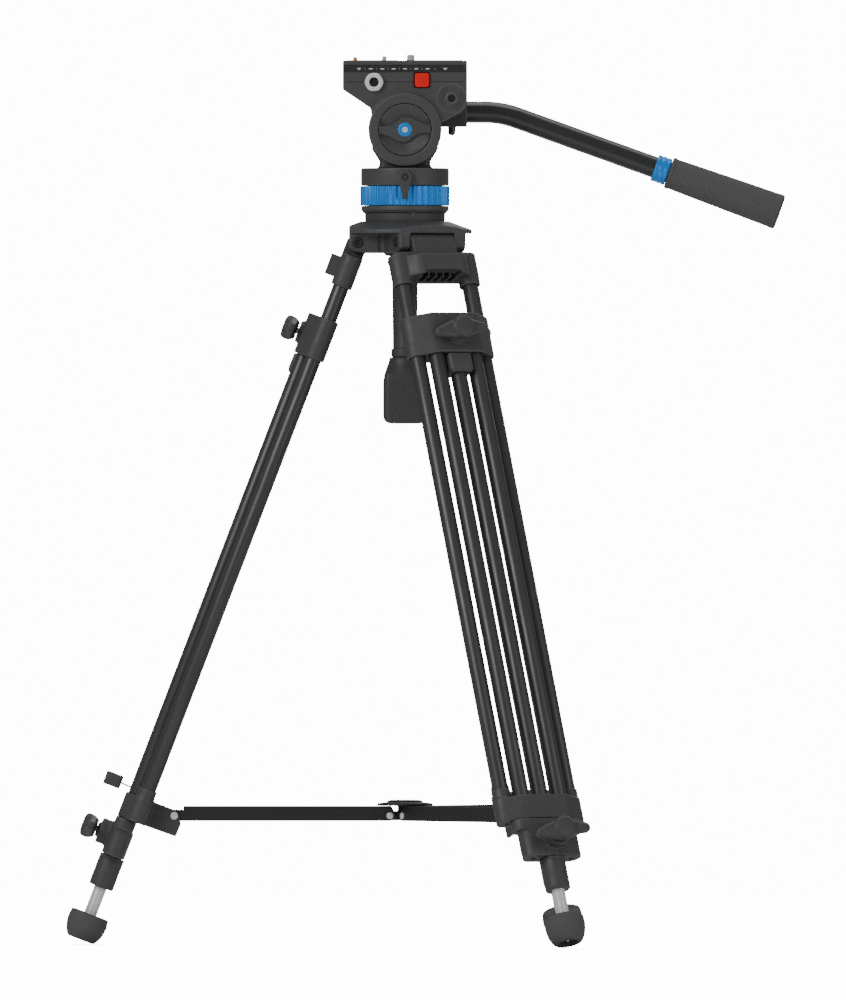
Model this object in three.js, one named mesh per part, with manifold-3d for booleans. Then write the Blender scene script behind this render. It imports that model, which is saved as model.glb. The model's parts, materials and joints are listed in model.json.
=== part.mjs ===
// Tripod with a fluid head: a 75 mm bowl tripod on three twin-tube telescopic legs, held apart by a
// folding mid-level spreader, with a drag head, a sliding camera plate and a cranked pan bar.
// Millimetres, +Z up. The floor is Z = 0 and the origin is the middle of the footprint.
import * as THREE from 'three';
import { mergeVertices } from 'three/addons/utils/BufferGeometryUtils.js';
import Module from 'manifold-3d';

const wasm = await Module();
wasm.setup();

// ---------------------------------------------------------------- driving dimensions
const GAP = 0.3; // clearance between neighbouring pieces
const LEG_AZIMUTHS = [180, -60, 60]; // degrees round the pan axis
const LEG_SPREAD = 21; // degrees of each leg from the vertical
const HINGE_R = 45.6; // hinge pin's distance from the pan axis
const PIN_R = 4;

const TUBE_R = 7.75; // every leg tube
const TUBE_WALL = 1.4;
const OUTER_T = 37.2; // upper tubes, sideways from the leg's middle
const MID_T = 20.9; // middle tubes, sideways
const MID_N = 9; // middle and lower tubes stand this far outwards of the hinge line
const CASTING_R = 10.3; // wall round a tube in the castings

// Stations down the leg from the hinge pin.
const YOKE_TOP = 13.8;
const YOKE_BOTTOM = 39;
const YOKE_SOCKET_BOTTOM = 45.8;
const SLIDER_TOP = 80;
const SLIDER_BOTTOM = 121;
const GUIDE_BOTTOM = 139;
const BRACKET_SOCKET_TOP = 567.5;
const BRACKET_TOP = 577.4;
const BRACKET_BOTTOM = 601.9;
const END_CAP_BOTTOM = 640.7;
const FERRULE_BOTTOM = 673;
const FOOT_TOP = 700.8;
const FOOT_BOTTOM = 727.5;
const FOOT_SOLE_R = 13.4;

const SPREADER_PIVOT_N = -32.8; // on the bracket, inwards of the hinge line
const SPREADER_PIVOT_A = 582.7; // and down the leg
const HUB_PIVOT_R = 14.5;
const ARM_HALF_WIDTH = 11.5;
const ARM_WALL = 1.5;

const CROWN_RIM_R = 43.6;
const CROWN_FLANGE_R = 65.5;
const LUG_FACE_R = 54.3;
const LUG_HALF_WIDTH = 36.9;
const LUG_SLOT_HALF = 24.6;
const BALL_R = 39;

// Heights above the floor, from the hinge line up.
const SPREAD = THREE.MathUtils.degToRad(LEG_SPREAD);
const HINGE_Z = FOOT_BOTTOM * Math.cos(SPREAD) + (FOOT_SOLE_R - MID_N) * Math.sin(SPREAD);
const LUG_BOTTOM = HINGE_Z - 10;
const FLANGE_BOTTOM = HINGE_Z + 8.9;
const RIM_TOP = HINGE_Z + 20.5;
const BALL_Z = HINGE_Z + 25.2;
const RING_BOTTOM = HINGE_Z + 36;
const RING_TOP = HINGE_Z + 55;
const PAN_TOP = HINGE_Z + 72.4;
const TILT_Z = HINGE_Z + 109.3;
const TILT_TOP = HINGE_Z + 164.4;
const PLATE_TOP = HINGE_Z + 176.4;
const CAMERA_SCREW_TOP = HINGE_Z + 182.5;

const PAN_R = 42.7;
const DRUM_R = 33;
const CHEEK_R = 35.5;
const CHEEK_BOSS_Y = -36.5; // face of the front cheek's round boss
const DIAL_R = 25.2;
const DIAL_Y = -38; // face of the tilt dial
const AXLE_R = 7;
const HEAD_HALF_LENGTH = 60.3;
const HEAD_HALF_WIDTH = 30.5;
const CHEEK_INNER = 20.2;

const BAR_R = 10.5;
const BAR_Y = 44;
const BAR_Z = TILT_Z + 17.9;
const BAR_DROP = THREE.MathUtils.degToRad(19.8);
const BAR_BEND_R = 95;
const BAR_CORNER_X = 93.4; // where the two straight runs would meet
const ROSETTE = { x: 45.2, z: TILT_Z + 30.4, r: 14.7 };
const BAR_RING_FROM = 158.5; // along the sloping run, from the corner
const GRIP_FROM = 173;
const GRIP_TO = 288;

const FINE = 24; // sides of the large round pieces
const ROUND = 20; // sides of the castings' rounded ends and the pan bar's fittings
const COARSE = 12; // sides of the tubes, bores, bosses and screws
const CURVE_STEPS = 3; // steps of a small curve in an outline

// ---------------------------------------------------------------- finishes
const finish = (color, roughness, metalness) => ({ color, roughness, metalness });
const FINISH = {
  casting: finish(0x3b3b3c, 0.62, 0.1),
  tube: finish(0x2e2e30, 0.38, 0.6),
  knob: finish(0x333334, 0.6, 0),
  rubber: finish(0x3a3a3b, 0.85, 0),
  steel: finish(0xc9cbcd, 0.25, 1),
  blue: finish(0x2f7fd6, 0.35, 0.8),
  red: finish(0xf01010, 0.45, 0),
  dark: finish(0x252526, 0.55, 0.2),
};

// ---------------------------------------------------------------- solids
/** A closed solid from a three.js geometry, whichever way round its faces were made. */
function solidOf(geometry) {
  const bare = geometry.index ? geometry.toNonIndexed() : geometry;
  bare.deleteAttribute('normal');
  bare.deleteAttribute('uv');
  const merged = mergeVertices(bare, 1e-3);
  const at = merged.attributes.position.array;
  const corners = merged.index.array;
  const point = (i) => new THREE.Vector3().fromArray(at, i * 3);
  const faces = [];
  let volume = 0;
  for (let i = 0; i < corners.length; i += 3) {
    const [a, b, c] = corners.slice(i, i + 3);
    if (a === b || b === c || c === a) continue;
    faces.push([a, b, c]);
    volume += point(a).dot(point(b).cross(point(c)));
  }
  const triVerts = Uint32Array.from(faces.flatMap(([a, b, c]) => (volume > 0 ? [a, b, c] : [a, c, b])));
  return new wasm.Manifold(new wasm.Mesh({ numProp: 3, vertProperties: at, triVerts }));
}

const bothSides = (make) => [-1, 1].map(make);
const union = (...solids) => solids.reduce((whole, next) => whole.add(next));
const cut = (solid, ...tools) => tools.reduce((whole, tool) => whole.subtract(tool), solid);

function box(x0, x1, y0, y1, z0, z1) {
  const block = new THREE.BoxGeometry(x1 - x0, y1 - y0, z1 - z0);
  return solidOf(block.translate((x0 + x1) / 2, (y0 + y1) / 2, (z0 + z1) / 2));
}

/** A round bar along Z, X or Y, between two stations. */
function rodZ(r, z0, z1, x = 0, y = 0, sides = COARSE) {
  const bar = new THREE.CylinderGeometry(r, r, z1 - z0, sides).rotateX(Math.PI / 2);
  return solidOf(bar.translate(x, y, (z0 + z1) / 2));
}
function rodX(r, x0, x1, y = 0, z = 0, sides = COARSE) {
  const bar = new THREE.CylinderGeometry(r, r, x1 - x0, sides).rotateZ(Math.PI / 2);
  return solidOf(bar.translate((x0 + x1) / 2, y, z));
}
function rodY(r, y0, y1, x = 0, z = 0, sides = COARSE) {
  return solidOf(new THREE.CylinderGeometry(r, r, y1 - y0, sides).translate(x, (y0 + y1) / 2, z));
}

/** A turned piece round Z from (radius, height) points that start and end on the axis or close up. */
function turned(profile, sides = FINE) {
  const points = profile.map(([r, z]) => new THREE.Vector2(r, z));
  return solidOf(new THREE.LatheGeometry(points, sides).rotateX(Math.PI / 2));
}

function outline(points) {
  return new THREE.Shape(points.map(([x, y]) => new THREE.Vector2(x, y)));
}
/** A plate with an XY outline, between two heights. */
function slab(shape, z0, z1) {
  const settings = { depth: z1 - z0, bevelEnabled: false, curveSegments: CURVE_STEPS };
  return solidOf(new THREE.ExtrudeGeometry(shape, settings).translate(0, 0, z0));
}
/** A plate with an XZ outline, between two stations of Y. */
function sideSlab(shape, y0, y1, curveSegments = CURVE_STEPS) {
  const settings = { depth: y1 - y0, bevelEnabled: false, curveSegments };
  return solidOf(new THREE.ExtrudeGeometry(shape, settings).rotateX(Math.PI / 2).translate(0, y1, 0));
}
/** A plate with a YZ outline, between two stations of X. */
function faceSlab(shape, x0, x1) {
  const settings = { depth: x1 - x0, bevelEnabled: false, curveSegments: CURVE_STEPS };
  const plate = new THREE.ExtrudeGeometry(shape, settings);
  return solidOf(plate.rotateX(Math.PI / 2).rotateZ(Math.PI / 2).translate(x0, 0, 0));
}

/** The tight outline round some circles, each [x, y, radius]: their points' convex hull. */
function wrapped(circles, sides = COARSE) {
  const points = circles.flatMap(([x, y, r]) => Array.from({ length: sides }, (_, i) => {
    const angle = ((i + 0.5) / sides) * 2 * Math.PI;
    const reach = r / Math.cos(Math.PI / sides);
    return [x + reach * Math.cos(angle), y + reach * Math.sin(angle)];
  }));
  points.sort((p, q) => p[0] - q[0] || p[1] - q[1]);
  const turn = (o, p, q) => (p[0] - o[0]) * (q[1] - o[1]) - (p[1] - o[1]) * (q[0] - o[0]);
  const half = (list) => {
    const chain = [];
    for (const p of list) {
      while (chain.length > 1 && turn(chain.at(-2), chain.at(-1), p) <= 1e-6) chain.pop();
      chain.push(p);
    }
    return chain.slice(0, -1);
  };
  return outline([...half(points), ...half([...points].reverse())]);
}

/** Adds one named piece to a group. */
function piece(group, name, solid, look) {
  const { vertProperties, triVerts } = solid.getMesh();
  const geometry = new THREE.BufferGeometry();
  geometry.setAttribute('position', new THREE.BufferAttribute(vertProperties, 3));
  geometry.setIndex(new THREE.BufferAttribute(triVerts, 1));
  geometry.computeVertexNormals();
  const mesh = new THREE.Mesh(geometry, new THREE.MeshStandardMaterial(look));
  mesh.name = name;
  group.add(mesh);
}

// ---------------------------------------------------------------- crown and its bowl
/** One leg's pair of lugs, pointing along +X, joined behind the slot that the yoke turns in. */
function lugPair() {
  const side = new THREE.Shape();
  side.moveTo(25, FLANGE_BOTTOM + 4);
  side.lineTo(25, LUG_BOTTOM);
  side.lineTo(HINGE_R, LUG_BOTTOM);
  side.absarc(HINGE_R, HINGE_Z, HINGE_Z - LUG_BOTTOM, -Math.PI / 2, -0.51, false);
  side.lineTo(LUG_FACE_R, HINGE_Z);
  side.lineTo(LUG_FACE_R, FLANGE_BOTTOM + 4);
  return sideSlab(side, -LUG_HALF_WIDTH, LUG_HALF_WIDTH);
}

/** The slot between two lugs: round above the pin, open below and in front. */
function yokeSlot() {
  const swing = HINGE_Z - LUG_BOTTOM + GAP;
  return union(
    rodY(swing, -LUG_SLOT_HALF, LUG_SLOT_HALF, HINGE_R, HINGE_Z, ROUND),
    box(HINGE_R, 90, -LUG_SLOT_HALF, LUG_SLOT_HALF, LUG_BOTTOM - 5, FLANGE_BOTTOM),
    box(HINGE_R - swing, HINGE_R + 1, -LUG_SLOT_HALF, LUG_SLOT_HALF, LUG_BOTTOM - 5, HINGE_Z),
  );
}

function addCrown(group) {
  const flange = turned([
    [0, FLANGE_BOTTOM], [CROWN_FLANGE_R, FLANGE_BOTTOM], [CROWN_FLANGE_R, FLANGE_BOTTOM + 3.6],
    [CROWN_RIM_R, RIM_TOP], [0, RIM_TOP],
  ], 30);
  const bowl = rodZ(43, LUG_BOTTOM, RIM_TOP - 2, 0, 0, 30);
  const seatAngles = [0.2, 0, -0.2, -0.4, -0.6, -0.8, -1];
  const seatR = BALL_R + 3 * GAP;
  const ballSeat = turned([
    [0, BALL_Z + seatR * Math.sin(0.2)],
    ...seatAngles.map((angle) => [seatR * Math.cos(angle), BALL_Z + seatR * Math.sin(angle)]),
    [0, BALL_Z - seatR],
  ]);
  let crown = union(flange, bowl);
  for (const azimuth of LEG_AZIMUTHS) crown = crown.add(lugPair().rotate([0, 0, azimuth]));
  for (const azimuth of LEG_AZIMUTHS) {
    const beyondFlat = box(LUG_FACE_R, 90, -60, 60, LUG_BOTTOM - 5, RIM_TOP + 5);
    const pinHole = rodY(PIN_R + GAP, -60, 60, HINGE_R, HINGE_Z);
    crown = cut(crown, ...[beyondFlat, yokeSlot(), pinHole].map((tool) => tool.rotate([0, 0, azimuth])));
  }
  crown = cut(crown, ballSeat, rodZ(24, LUG_BOTTOM - 5, BALL_Z, 0, 0, FINE));
  piece(group, 'crown', crown, FINISH.casting);
  LEG_AZIMUTHS.forEach((azimuth, i) => {
    const head = 5.2;
    const pin = union(
      rodY(PIN_R, -LUG_HALF_WIDTH - 0.6, LUG_HALF_WIDTH + 0.6, HINGE_R, HINGE_Z),
      rodY(head, LUG_HALF_WIDTH + GAP, LUG_HALF_WIDTH + 1.3, HINGE_R, HINGE_Z),
    );
    piece(group, `hinge_pin_${i + 1}`, pin.rotate([0, 0, azimuth]), FINISH.dark);
  });
}

// ---------------------------------------------------------------- head, from the ball up
function addHeadBase(group) {
  const stemR = 11.7;
  const stemBottom = HINGE_Z - 110.9;
  const ballAngles = Array.from({ length: 5 }, (_, i) => -0.103 - (i / 4) * 0.78);
  const ball = ballAngles.map((angle) => [BALL_R * Math.cos(angle), BALL_Z + BALL_R * Math.sin(angle)]);
  const ballBottom = ball.at(-1)[1];
  piece(group, 'half_ball', turned([
    [0, RING_TOP - 0.4], [29.4, RING_TOP - 0.4], [29.4, RING_BOTTOM - GAP],
    [42.5, RING_BOTTOM - GAP], [42.5, RING_BOTTOM - 5], [40.6, RING_BOTTOM - 6.2],
    [38.8, BALL_Z + 3], [38.6, BALL_Z - 4], ...ball.slice(1), [18, ballBottom - 3], [stemR, ballBottom - 3],
    [stemR, stemBottom], [0, stemBottom],
  ]), FINISH.casting);
  const washerTop = HINGE_Z - 18;
  const washerBore = 19; // leaves room for the stem to lean
  piece(group, 'clamp_washer', turned([
    [washerBore, washerTop], [25, washerTop], [28, washerTop - 3], [28, washerTop - 7],
    [washerBore, washerTop - 7], [washerBore, washerTop],
  ]), FINISH.dark);

  const gripTop = stemBottom - GAP;
  const gripBottom = HINGE_Z - 175.6;
  const gripHalf = 21.5;
  const gripBlank = turned([
    [0, gripTop], [15.4, gripTop], [16.4, gripTop - 5], [21.5, gripTop - 12], [26.4, gripTop - 22],
    [27.8, gripTop - 30], [27.8, gripBottom + 8], [24.6, gripBottom + 2.4], [18, gripBottom],
    [0, gripBottom],
  ]);
  const flats = box(-gripHalf, gripHalf, -gripHalf, gripHalf, gripBottom - 1, gripTop + 1);
  piece(group, 'tie_down_grip', gripBlank.intersect(flats), FINISH.knob);

  const ring = rodZ(43.4, RING_BOTTOM, RING_TOP, 0, 0, FINE);
  const ringBore = rodZ(30.5, RING_BOTTOM - 1, RING_TOP + 1, 0, 0, FINE);
  piece(group, 'pan_drag_ring', cut(ring, ringBore), FINISH.blue);
}

function addPanBase(group) {
  const bottom = RING_TOP + GAP;
  const neckHalf = 23.8;
  const flare = 4;
  const neck = new THREE.Shape();
  neck.moveTo(-neckHalf - flare, PAN_TOP - 1);
  neck.absarc(-neckHalf - flare, PAN_TOP + flare, flare, -Math.PI / 2, 0, false);
  neck.lineTo(-neckHalf, TILT_Z);
  neck.lineTo(neckHalf, TILT_Z);
  neck.lineTo(neckHalf, PAN_TOP + flare);
  neck.absarc(neckHalf + flare, PAN_TOP + flare, flare, Math.PI, 1.5 * Math.PI, false);
  neck.lineTo(neckHalf + flare, PAN_TOP - 1);
  const drumHalf = CHEEK_INNER - 0.6;
  const solid = union(
    rodZ(PAN_R, bottom, PAN_TOP, 0, 0, FINE),
    sideSlab(neck, -drumHalf, drumHalf),
    rodY(DRUM_R, -drumHalf, drumHalf, 0, TILT_Z, FINE),
  );
  const axleHole = rodY(AXLE_R + GAP, -30, 30, 0, TILT_Z);
  const leverHole = rodY(2.5 + GAP, -PAN_R - 2, -PAN_R + 9, 0, PAN_TOP - 9.2);
  piece(group, 'pan_base', cut(solid, axleHole, leverHole), FINISH.casting);

  const leverZ = PAN_TOP - 9.2;
  const blade = wrapped([[0, leverZ, 6.8], [0, leverZ - 19, 2.4]]);
  const lever = union(
    sideSlab(blade, -49, -44.6),
    rodY(5, -45, -PAN_R - GAP, 0, leverZ),
    rodY(2.5, -PAN_R - 1, -PAN_R + 8, 0, leverZ),
  );
  piece(group, 'pan_lock_lever', lever, FINISH.knob);
}

/** The tilting body: two cheeks on the tilt axle under a platform with rails for the plate. */
function addTiltBody(group) {
  const side = new THREE.Shape();
  const slopeTop = TILT_TOP - 15.6;
  side.moveTo(-HEAD_HALF_LENGTH, TILT_TOP);
  side.lineTo(-HEAD_HALF_LENGTH, slopeTop);
  side.lineTo(-33.5, TILT_Z + 21.5);
  side.absarc(0, TILT_Z, CHEEK_R, 2.72, 2 * Math.PI + 0.2, false);
  side.quadraticCurveTo(46, TILT_Z + 12.5, 53, TILT_Z + 16.5);
  side.quadraticCurveTo(HEAD_HALF_LENGTH, TILT_Z + 21, HEAD_HALF_LENGTH, TILT_Z + 30);
  side.lineTo(HEAD_HALF_LENGTH, TILT_TOP);
  const sideSteps = 10;
  const railInner = 25.6;
  const platformUnder = TILT_Z + 39.5;
  const between = box(-80, 80, -CHEEK_INNER, CHEEK_INNER, TILT_Z - 60, platformUnder);
  const rail = (y0, y1) => box(-HEAD_HALF_LENGTH, HEAD_HALF_LENGTH, y0, y1, TILT_TOP - 1, TILT_TOP + 7);
  const buttonSlot = box(9, 24.1, -40, -HEAD_HALF_WIDTH + 9, TILT_TOP - 14.4, TILT_TOP + 0.2);
  const solid = cut(
    union(
      sideSlab(side, -HEAD_HALF_WIDTH, HEAD_HALF_WIDTH, sideSteps),
      rodY(CHEEK_R, CHEEK_BOSS_Y, -HEAD_HALF_WIDTH + 1, 0, TILT_Z, 2 * ROUND),
      rail(railInner, HEAD_HALF_WIDTH),
      rail(-HEAD_HALF_WIDTH, -railInner),
    ),
    between,
    buttonSlot,
    rodY(DIAL_R + 2 * GAP, -50, -HEAD_HALF_WIDTH, 0, TILT_Z, ROUND),
    rodY(4 + GAP, -40, -HEAD_HALF_WIDTH + 10, -30, TILT_TOP - 9),
    rodY(AXLE_R + GAP, -40, 40, 0, TILT_Z),
    rodY(4, -40, -HEAD_HALF_WIDTH + 8, ROSETTE.x, ROSETTE.z),
    rodY(ROSETTE.r + GAP, HEAD_HALF_WIDTH - 1.5, 40, ROSETTE.x, ROSETTE.z, FINE),
  );
  piece(group, 'tilt_body', solid, FINISH.casting);

  const buttonFace = new THREE.Shape();
  buttonFace.moveTo(9.5, TILT_TOP - 13.9);
  buttonFace.lineTo(23.6, TILT_TOP - 13.9);
  buttonFace.lineTo(23.6, TILT_TOP - GAP);
  buttonFace.lineTo(9.5, TILT_TOP - GAP);
  piece(group, 'plate_release_button', sideSlab(buttonFace, -33.6, -26), FINISH.red);

  const clampZ = TILT_TOP - 9;
  const clamp = cut(
    union(rodY(9.2, -36.2, -HEAD_HALF_WIDTH - GAP, -30, clampZ, ROUND), rodY(4, -31, -22, -30, clampZ)),
    rodY(4.5, -40, -32.5, -30, clampZ),
  );
  piece(group, 'plate_clamp_knob', clamp, FINISH.steel);

  // two finger hollows leave a bar across the dial
  const hollowFloor = DIAL_Y + 4;
  const fingerHollow = (side) => {
    const z = TILT_Z + side * 17.8;
    return sideSlab(wrapped([[-7, z, 8.5], [7, z, 8.5]]), -50, hollowFloor);
  };
  const dial = rodY(DIAL_R, DIAL_Y, -HEAD_HALF_WIDTH - GAP, 0, TILT_Z, ROUND);
  const axle = rodY(AXLE_R, -31, 38, 0, TILT_Z);
  piece(group, 'tilt_drag_knob', union(cut(dial, ...bothSides(fingerHollow)), axle), FINISH.knob);
}

function addPlate(group) {
  const dovetail = box(-HEAD_HALF_LENGTH, HEAD_HALF_LENGTH, -25.2, 25.2, TILT_TOP + GAP, PLATE_TOP);
  const table = box(-HEAD_HALF_LENGTH, HEAD_HALF_LENGTH, -30, 30, TILT_TOP + 7.4, PLATE_TOP);
  const screwX = 5.6;
  const screwHole = rodZ(3.9 + GAP, PLATE_TOP - 7, PLATE_TOP + 5, screwX, 0);
  piece(group, 'camera_plate', cut(union(dovetail, table), screwHole), FINISH.dark);
  piece(group, 'camera_screw', rodZ(3.9, PLATE_TOP - 6.5, CAMERA_SCREW_TOP, screwX, 0), FINISH.steel);
}

/** The pan bar's centre line: level, round one bend, then down the slope. */
function barLine(startX, slopeLength) {
  const reach = BAR_BEND_R * Math.tan(BAR_DROP / 2);
  const level = (x) => new THREE.Vector3(x, BAR_Y, BAR_Z);
  const slope = new THREE.Vector3(Math.cos(BAR_DROP), 0, -Math.sin(BAR_DROP));
  const corner = level(BAR_CORNER_X);
  const bendStart = level(BAR_CORNER_X - reach);
  const down = (length) => corner.clone().addScaledVector(slope, length);
  const line = new THREE.CurvePath();
  line.add(new THREE.LineCurve3(level(startX), bendStart));
  line.add(new THREE.QuadraticBezierCurve3(bendStart, corner, down(reach)));
  line.add(new THREE.LineCurve3(down(reach), down(slopeLength)));
  return line;
}

/** A turned piece on the pan bar's sloping run; heights are distances from the corner. */
function onSlope(profile, sides = ROUND) {
  const points = profile.map(([r, along]) => new THREE.Vector2(r, along));
  const shape = new THREE.LatheGeometry(points, sides).rotateZ(-Math.PI / 2).rotateY(BAR_DROP);
  return solidOf(shape.translate(BAR_CORNER_X, BAR_Y, BAR_Z));
}

function addPanBar(group) {
  const tight = BAR_R + GAP;
  const blockTop = ROSETTE.z + 4;
  const bracket = cut(
    union(
      rodY(ROSETTE.r, HEAD_HALF_WIDTH - 1, HEAD_HALF_WIDTH + 5, ROSETTE.x, ROSETTE.z, FINE),
      rodX(BAR_Y - HEAD_HALF_WIDTH - GAP, 35, HEAD_HALF_LENGTH, BAR_Y, BAR_Z, ROUND),
      box(35, HEAD_HALF_LENGTH, HEAD_HALF_WIDTH + 0.6, BAR_Y + 6, BAR_Z, blockTop),
      box(35, HEAD_HALF_LENGTH, HEAD_HALF_WIDTH + 0.6, BAR_Y, BAR_Z - 14.4, BAR_Z),
      rodZ(3.5, BAR_Z - 22, BAR_Z - 12, 45.5, BAR_Y),
    ),
    rodX(tight + 0.2, 38, 90, BAR_Y, BAR_Z, ROUND),
  );
  piece(group, 'pan_bar_bracket', bracket, FINISH.casting);

  const round = new THREE.Shape();
  round.absarc(0, 0, BAR_R, 0, 2 * Math.PI, false);
  const line = barLine(38.4, GRIP_TO - 20);
  const settings = { steps: 20, curveSegments: 6, bevelEnabled: false, extrudePath: line };
  const bar = solidOf(new THREE.ExtrudeGeometry(round, settings));
  piece(group, 'pan_bar', bar, FINISH.tube);

  const ringR = 13.4;
  piece(group, 'pan_bar_ring', onSlope([
    [tight, BAR_RING_FROM], [ringR, BAR_RING_FROM], [ringR, GRIP_FROM - GAP], [tight, GRIP_FROM - GAP],
    [tight, BAR_RING_FROM],
  ]), FINISH.blue);
  piece(group, 'pan_bar_grip', onSlope([
    [tight, GRIP_FROM], [15.2, GRIP_FROM], [16, GRIP_FROM + 3], [17.4, GRIP_TO - 5], [16.6, GRIP_TO],
    [0, GRIP_TO], [0, GRIP_TO - 19], [tight, GRIP_TO - 19], [tight, GRIP_FROM],
  ]), FINISH.rubber);
}

// ---------------------------------------------------------------- legs
// A leg's own frame: X outwards (n), Y sideways (t), Z up the leg, with the hinge pin at the origin,
// so a station a down the leg is at Z = -a.
const hollow = (r, from, to, n, t) => cut(
  rodZ(r, -to, -from, n, t),
  rodZ(r - TUBE_WALL, -to - 1, -from + 1, n, t),
);
const bore = (r, from, to, n, t) => rodZ(r, -to, -from, n, t);

/** The upper casting: a tongue on the hinge pin over a wide socket block with a ribbed arch in front. */
function yokeSolid() {
  const tongueHalf = LUG_SLOT_HALF - 0.5;
  const barrelR = 9.7;
  const archTop = 29;
  const ribFace = 8.5;
  const pocketHalf = 3;
  const lean = 2; // each pocket's top stands this much further sideways than its foot
  const below = -YOKE_BOTTOM - 2;
  const shell = wrapped(bothSides((side) => [0, side * OUTER_T, CASTING_R]), ROUND);
  const bulge = wrapped([[0, -31, 9.5], [0, 31, 9.5], [10.5, -20, 9.4], [10.5, 20, 9.4]]);
  const arch = outline([
    [-23, below], [23, below], [17.5, -32.5], [9, -archTop], [-9, -archTop], [-17.5, -32.5],
  ]);
  const shoulder = (side) => {
    const wedge = outline([[side * 30, 0], [side * 60, 0], [side * 60, -27], [side * 44, -13]]);
    return faceSlab(wedge, -20, 30);
  };
  const pocket = (t) => {
    const slant = outline([
      [t - pocketHalf, below], [t + pocketHalf, below],
      [t + pocketHalf + lean, -archTop - 0.5], [t - pocketHalf + lean, -archTop - 0.5],
    ]);
    return faceSlab(slant, -6.5, 15);
  };
  return cut(
    union(
      rodY(barrelR, -tongueHalf, tongueHalf, 0, 0, ROUND),
      box(-barrelR, barrelR + 1, -tongueHalf, tongueHalf, -YOKE_TOP - 3, 0),
      slab(shell, -YOKE_BOTTOM, -YOKE_TOP),
      slab(bulge, -YOKE_BOTTOM, -18.5),
      ...bothSides((side) => rodZ(CASTING_R, -YOKE_SOCKET_BOTTOM, -YOKE_TOP - 8, 0, side * OUTER_T, ROUND)),
    ),
    ...bothSides(shoulder),
    faceSlab(arch, ribFace, 30),
    ...[-16, -8, 0, 8, 16].map(pocket),
    ...bothSides((side) => bore(TUBE_R + GAP, 26, 60, 0, side * OUTER_T)),
    rodY(PIN_R + GAP, -40, 40),
    // the barrel's upper corner is rounded off where the tongue would foul the crown
    box(0, 40, -tongueHalf - 1, tongueHalf + 1, 0, 20).subtract(rodY(barrelR, -40, 40, 0, 0, ROUND)),
  );
}

/** The slider that carries the middle tubes down the upper ones. */
function sliderSolid(knobA) {
  const circles = bothSides((side) => [0, side * OUTER_T, CASTING_R])
    .concat(bothSides((side) => [MID_N, side * MID_T, 11]));
  return cut(
    union(
      slab(wrapped(circles, ROUND), -SLIDER_BOTTOM, -SLIDER_TOP),
      rodX(11, 15, 23.6, 0, -knobA),
    ),
    ...bothSides((side) => bore(TUBE_R + GAP, SLIDER_TOP - 1, SLIDER_BOTTOM + 1, 0, side * OUTER_T)),
    ...bothSides((side) => bore(TUBE_R + GAP, SLIDER_TOP + 7, SLIDER_BOTTOM + 1, MID_N, side * MID_T)),
    rodX(3 + GAP, 12, 30, 0, -knobA),
  );
}

/** The wide bracket at the foot of the upper tubes, with cheeks inwards for the spreader arm. */
function bracketSolid() {
  const circles = bothSides((side) => [0, side * OUTER_T, CASTING_R])
    .concat(bothSides((side) => [MID_N, side * MID_T, 9.9]));
  const cheek = outline([
    [-8, -BRACKET_TOP], [-32, -BRACKET_TOP], [-36.4, -579.5], [-41.8, -588], [-41.6, -601.3],
    [-8, -BRACKET_BOTTOM],
  ]);
  const cheekInner = ARM_HALF_WIDTH + 0.7;
  const cheekOuter = cheekInner + 3;
  const socketFloor = BRACKET_BOTTOM - 2;
  return cut(
    union(
      slab(wrapped(circles, ROUND), -BRACKET_BOTTOM, -BRACKET_TOP),
      ...bothSides((side) => rodZ(9.3, -BRACKET_TOP - 2, -BRACKET_SOCKET_TOP, 0, side * OUTER_T)),
      sideSlab(cheek, -cheekOuter, -cheekInner),
      sideSlab(cheek, cheekInner, cheekOuter),
      rodY(3.6, cheekOuter - 1, cheekOuter + 1.3, SPREADER_PIVOT_N, -SPREADER_PIVOT_A),
      rodY(3.6, -cheekOuter - 1.3, -cheekOuter + 1, SPREADER_PIVOT_N, -SPREADER_PIVOT_A),
    ),
    box(-30, -3.5, -cheekInner, cheekInner, -BRACKET_BOTTOM - 5, -BRACKET_TOP + 5),
    ...bothSides((side) => bore(TUBE_R + GAP, BRACKET_SOCKET_TOP - 1, socketFloor, 0, side * OUTER_T)),
    ...bothSides((side) => bore(TUBE_R + GAP, BRACKET_TOP - 1, BRACKET_BOTTOM + 1, MID_N, side * MID_T)),
    bore(TUBE_R + GAP, BRACKET_TOP - 1, BRACKET_BOTTOM + 1, MID_N, 0),
  );
}

/** The casting that closes the middle tubes and clamps the lower one. */
function endCapSolid(knobA) {
  const top = BRACKET_BOTTOM + GAP;
  const flange = wrapped(bothSides((side) => [MID_N, side * 27.1, CASTING_R]), ROUND);
  const body = wrapped(bothSides((side) => [MID_N, side * MID_T, CASTING_R]), ROUND);
  return cut(
    union(
      slab(flange, -613, -top),
      slab(body, -END_CAP_BOTTOM, -top - 2),
      rodZ(11.9, -END_CAP_BOTTOM, -614, MID_N, 0),
      rodX(12.6, 12, 30.4, 0, -knobA),
      rodX(7, 12, 33, 0, -knobA),
    ),
    ...bothSides((side) => bore(TUBE_R + GAP, top - 1, END_CAP_BOTTOM - 4, MID_N, side * MID_T)),
    bore(TUBE_R + GAP, top - 1, END_CAP_BOTTOM + 1, MID_N, 0),
    rodX(3 + GAP, MID_N + TUBE_R, 40, 0, -knobA),
  );
}

/** A wing knob on an outward screw: a round boss with a long wing and a short one. */
function knobSolid(from, knobA, screwFrom) {
  const long = wrapped([[0, 0, 11.5], [-26, -4.5, 5]], 10);
  const short = wrapped([[0, 0, 11.5], [22.5, 1, 4]], 10);
  const knob = union(faceSlab(long, from, from + 14.6), faceSlab(short, from, from + 14.6));
  return union(knob, rodX(3, screwFrom, from + 1)).translate([0, 0, -knobA]);
}

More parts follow.
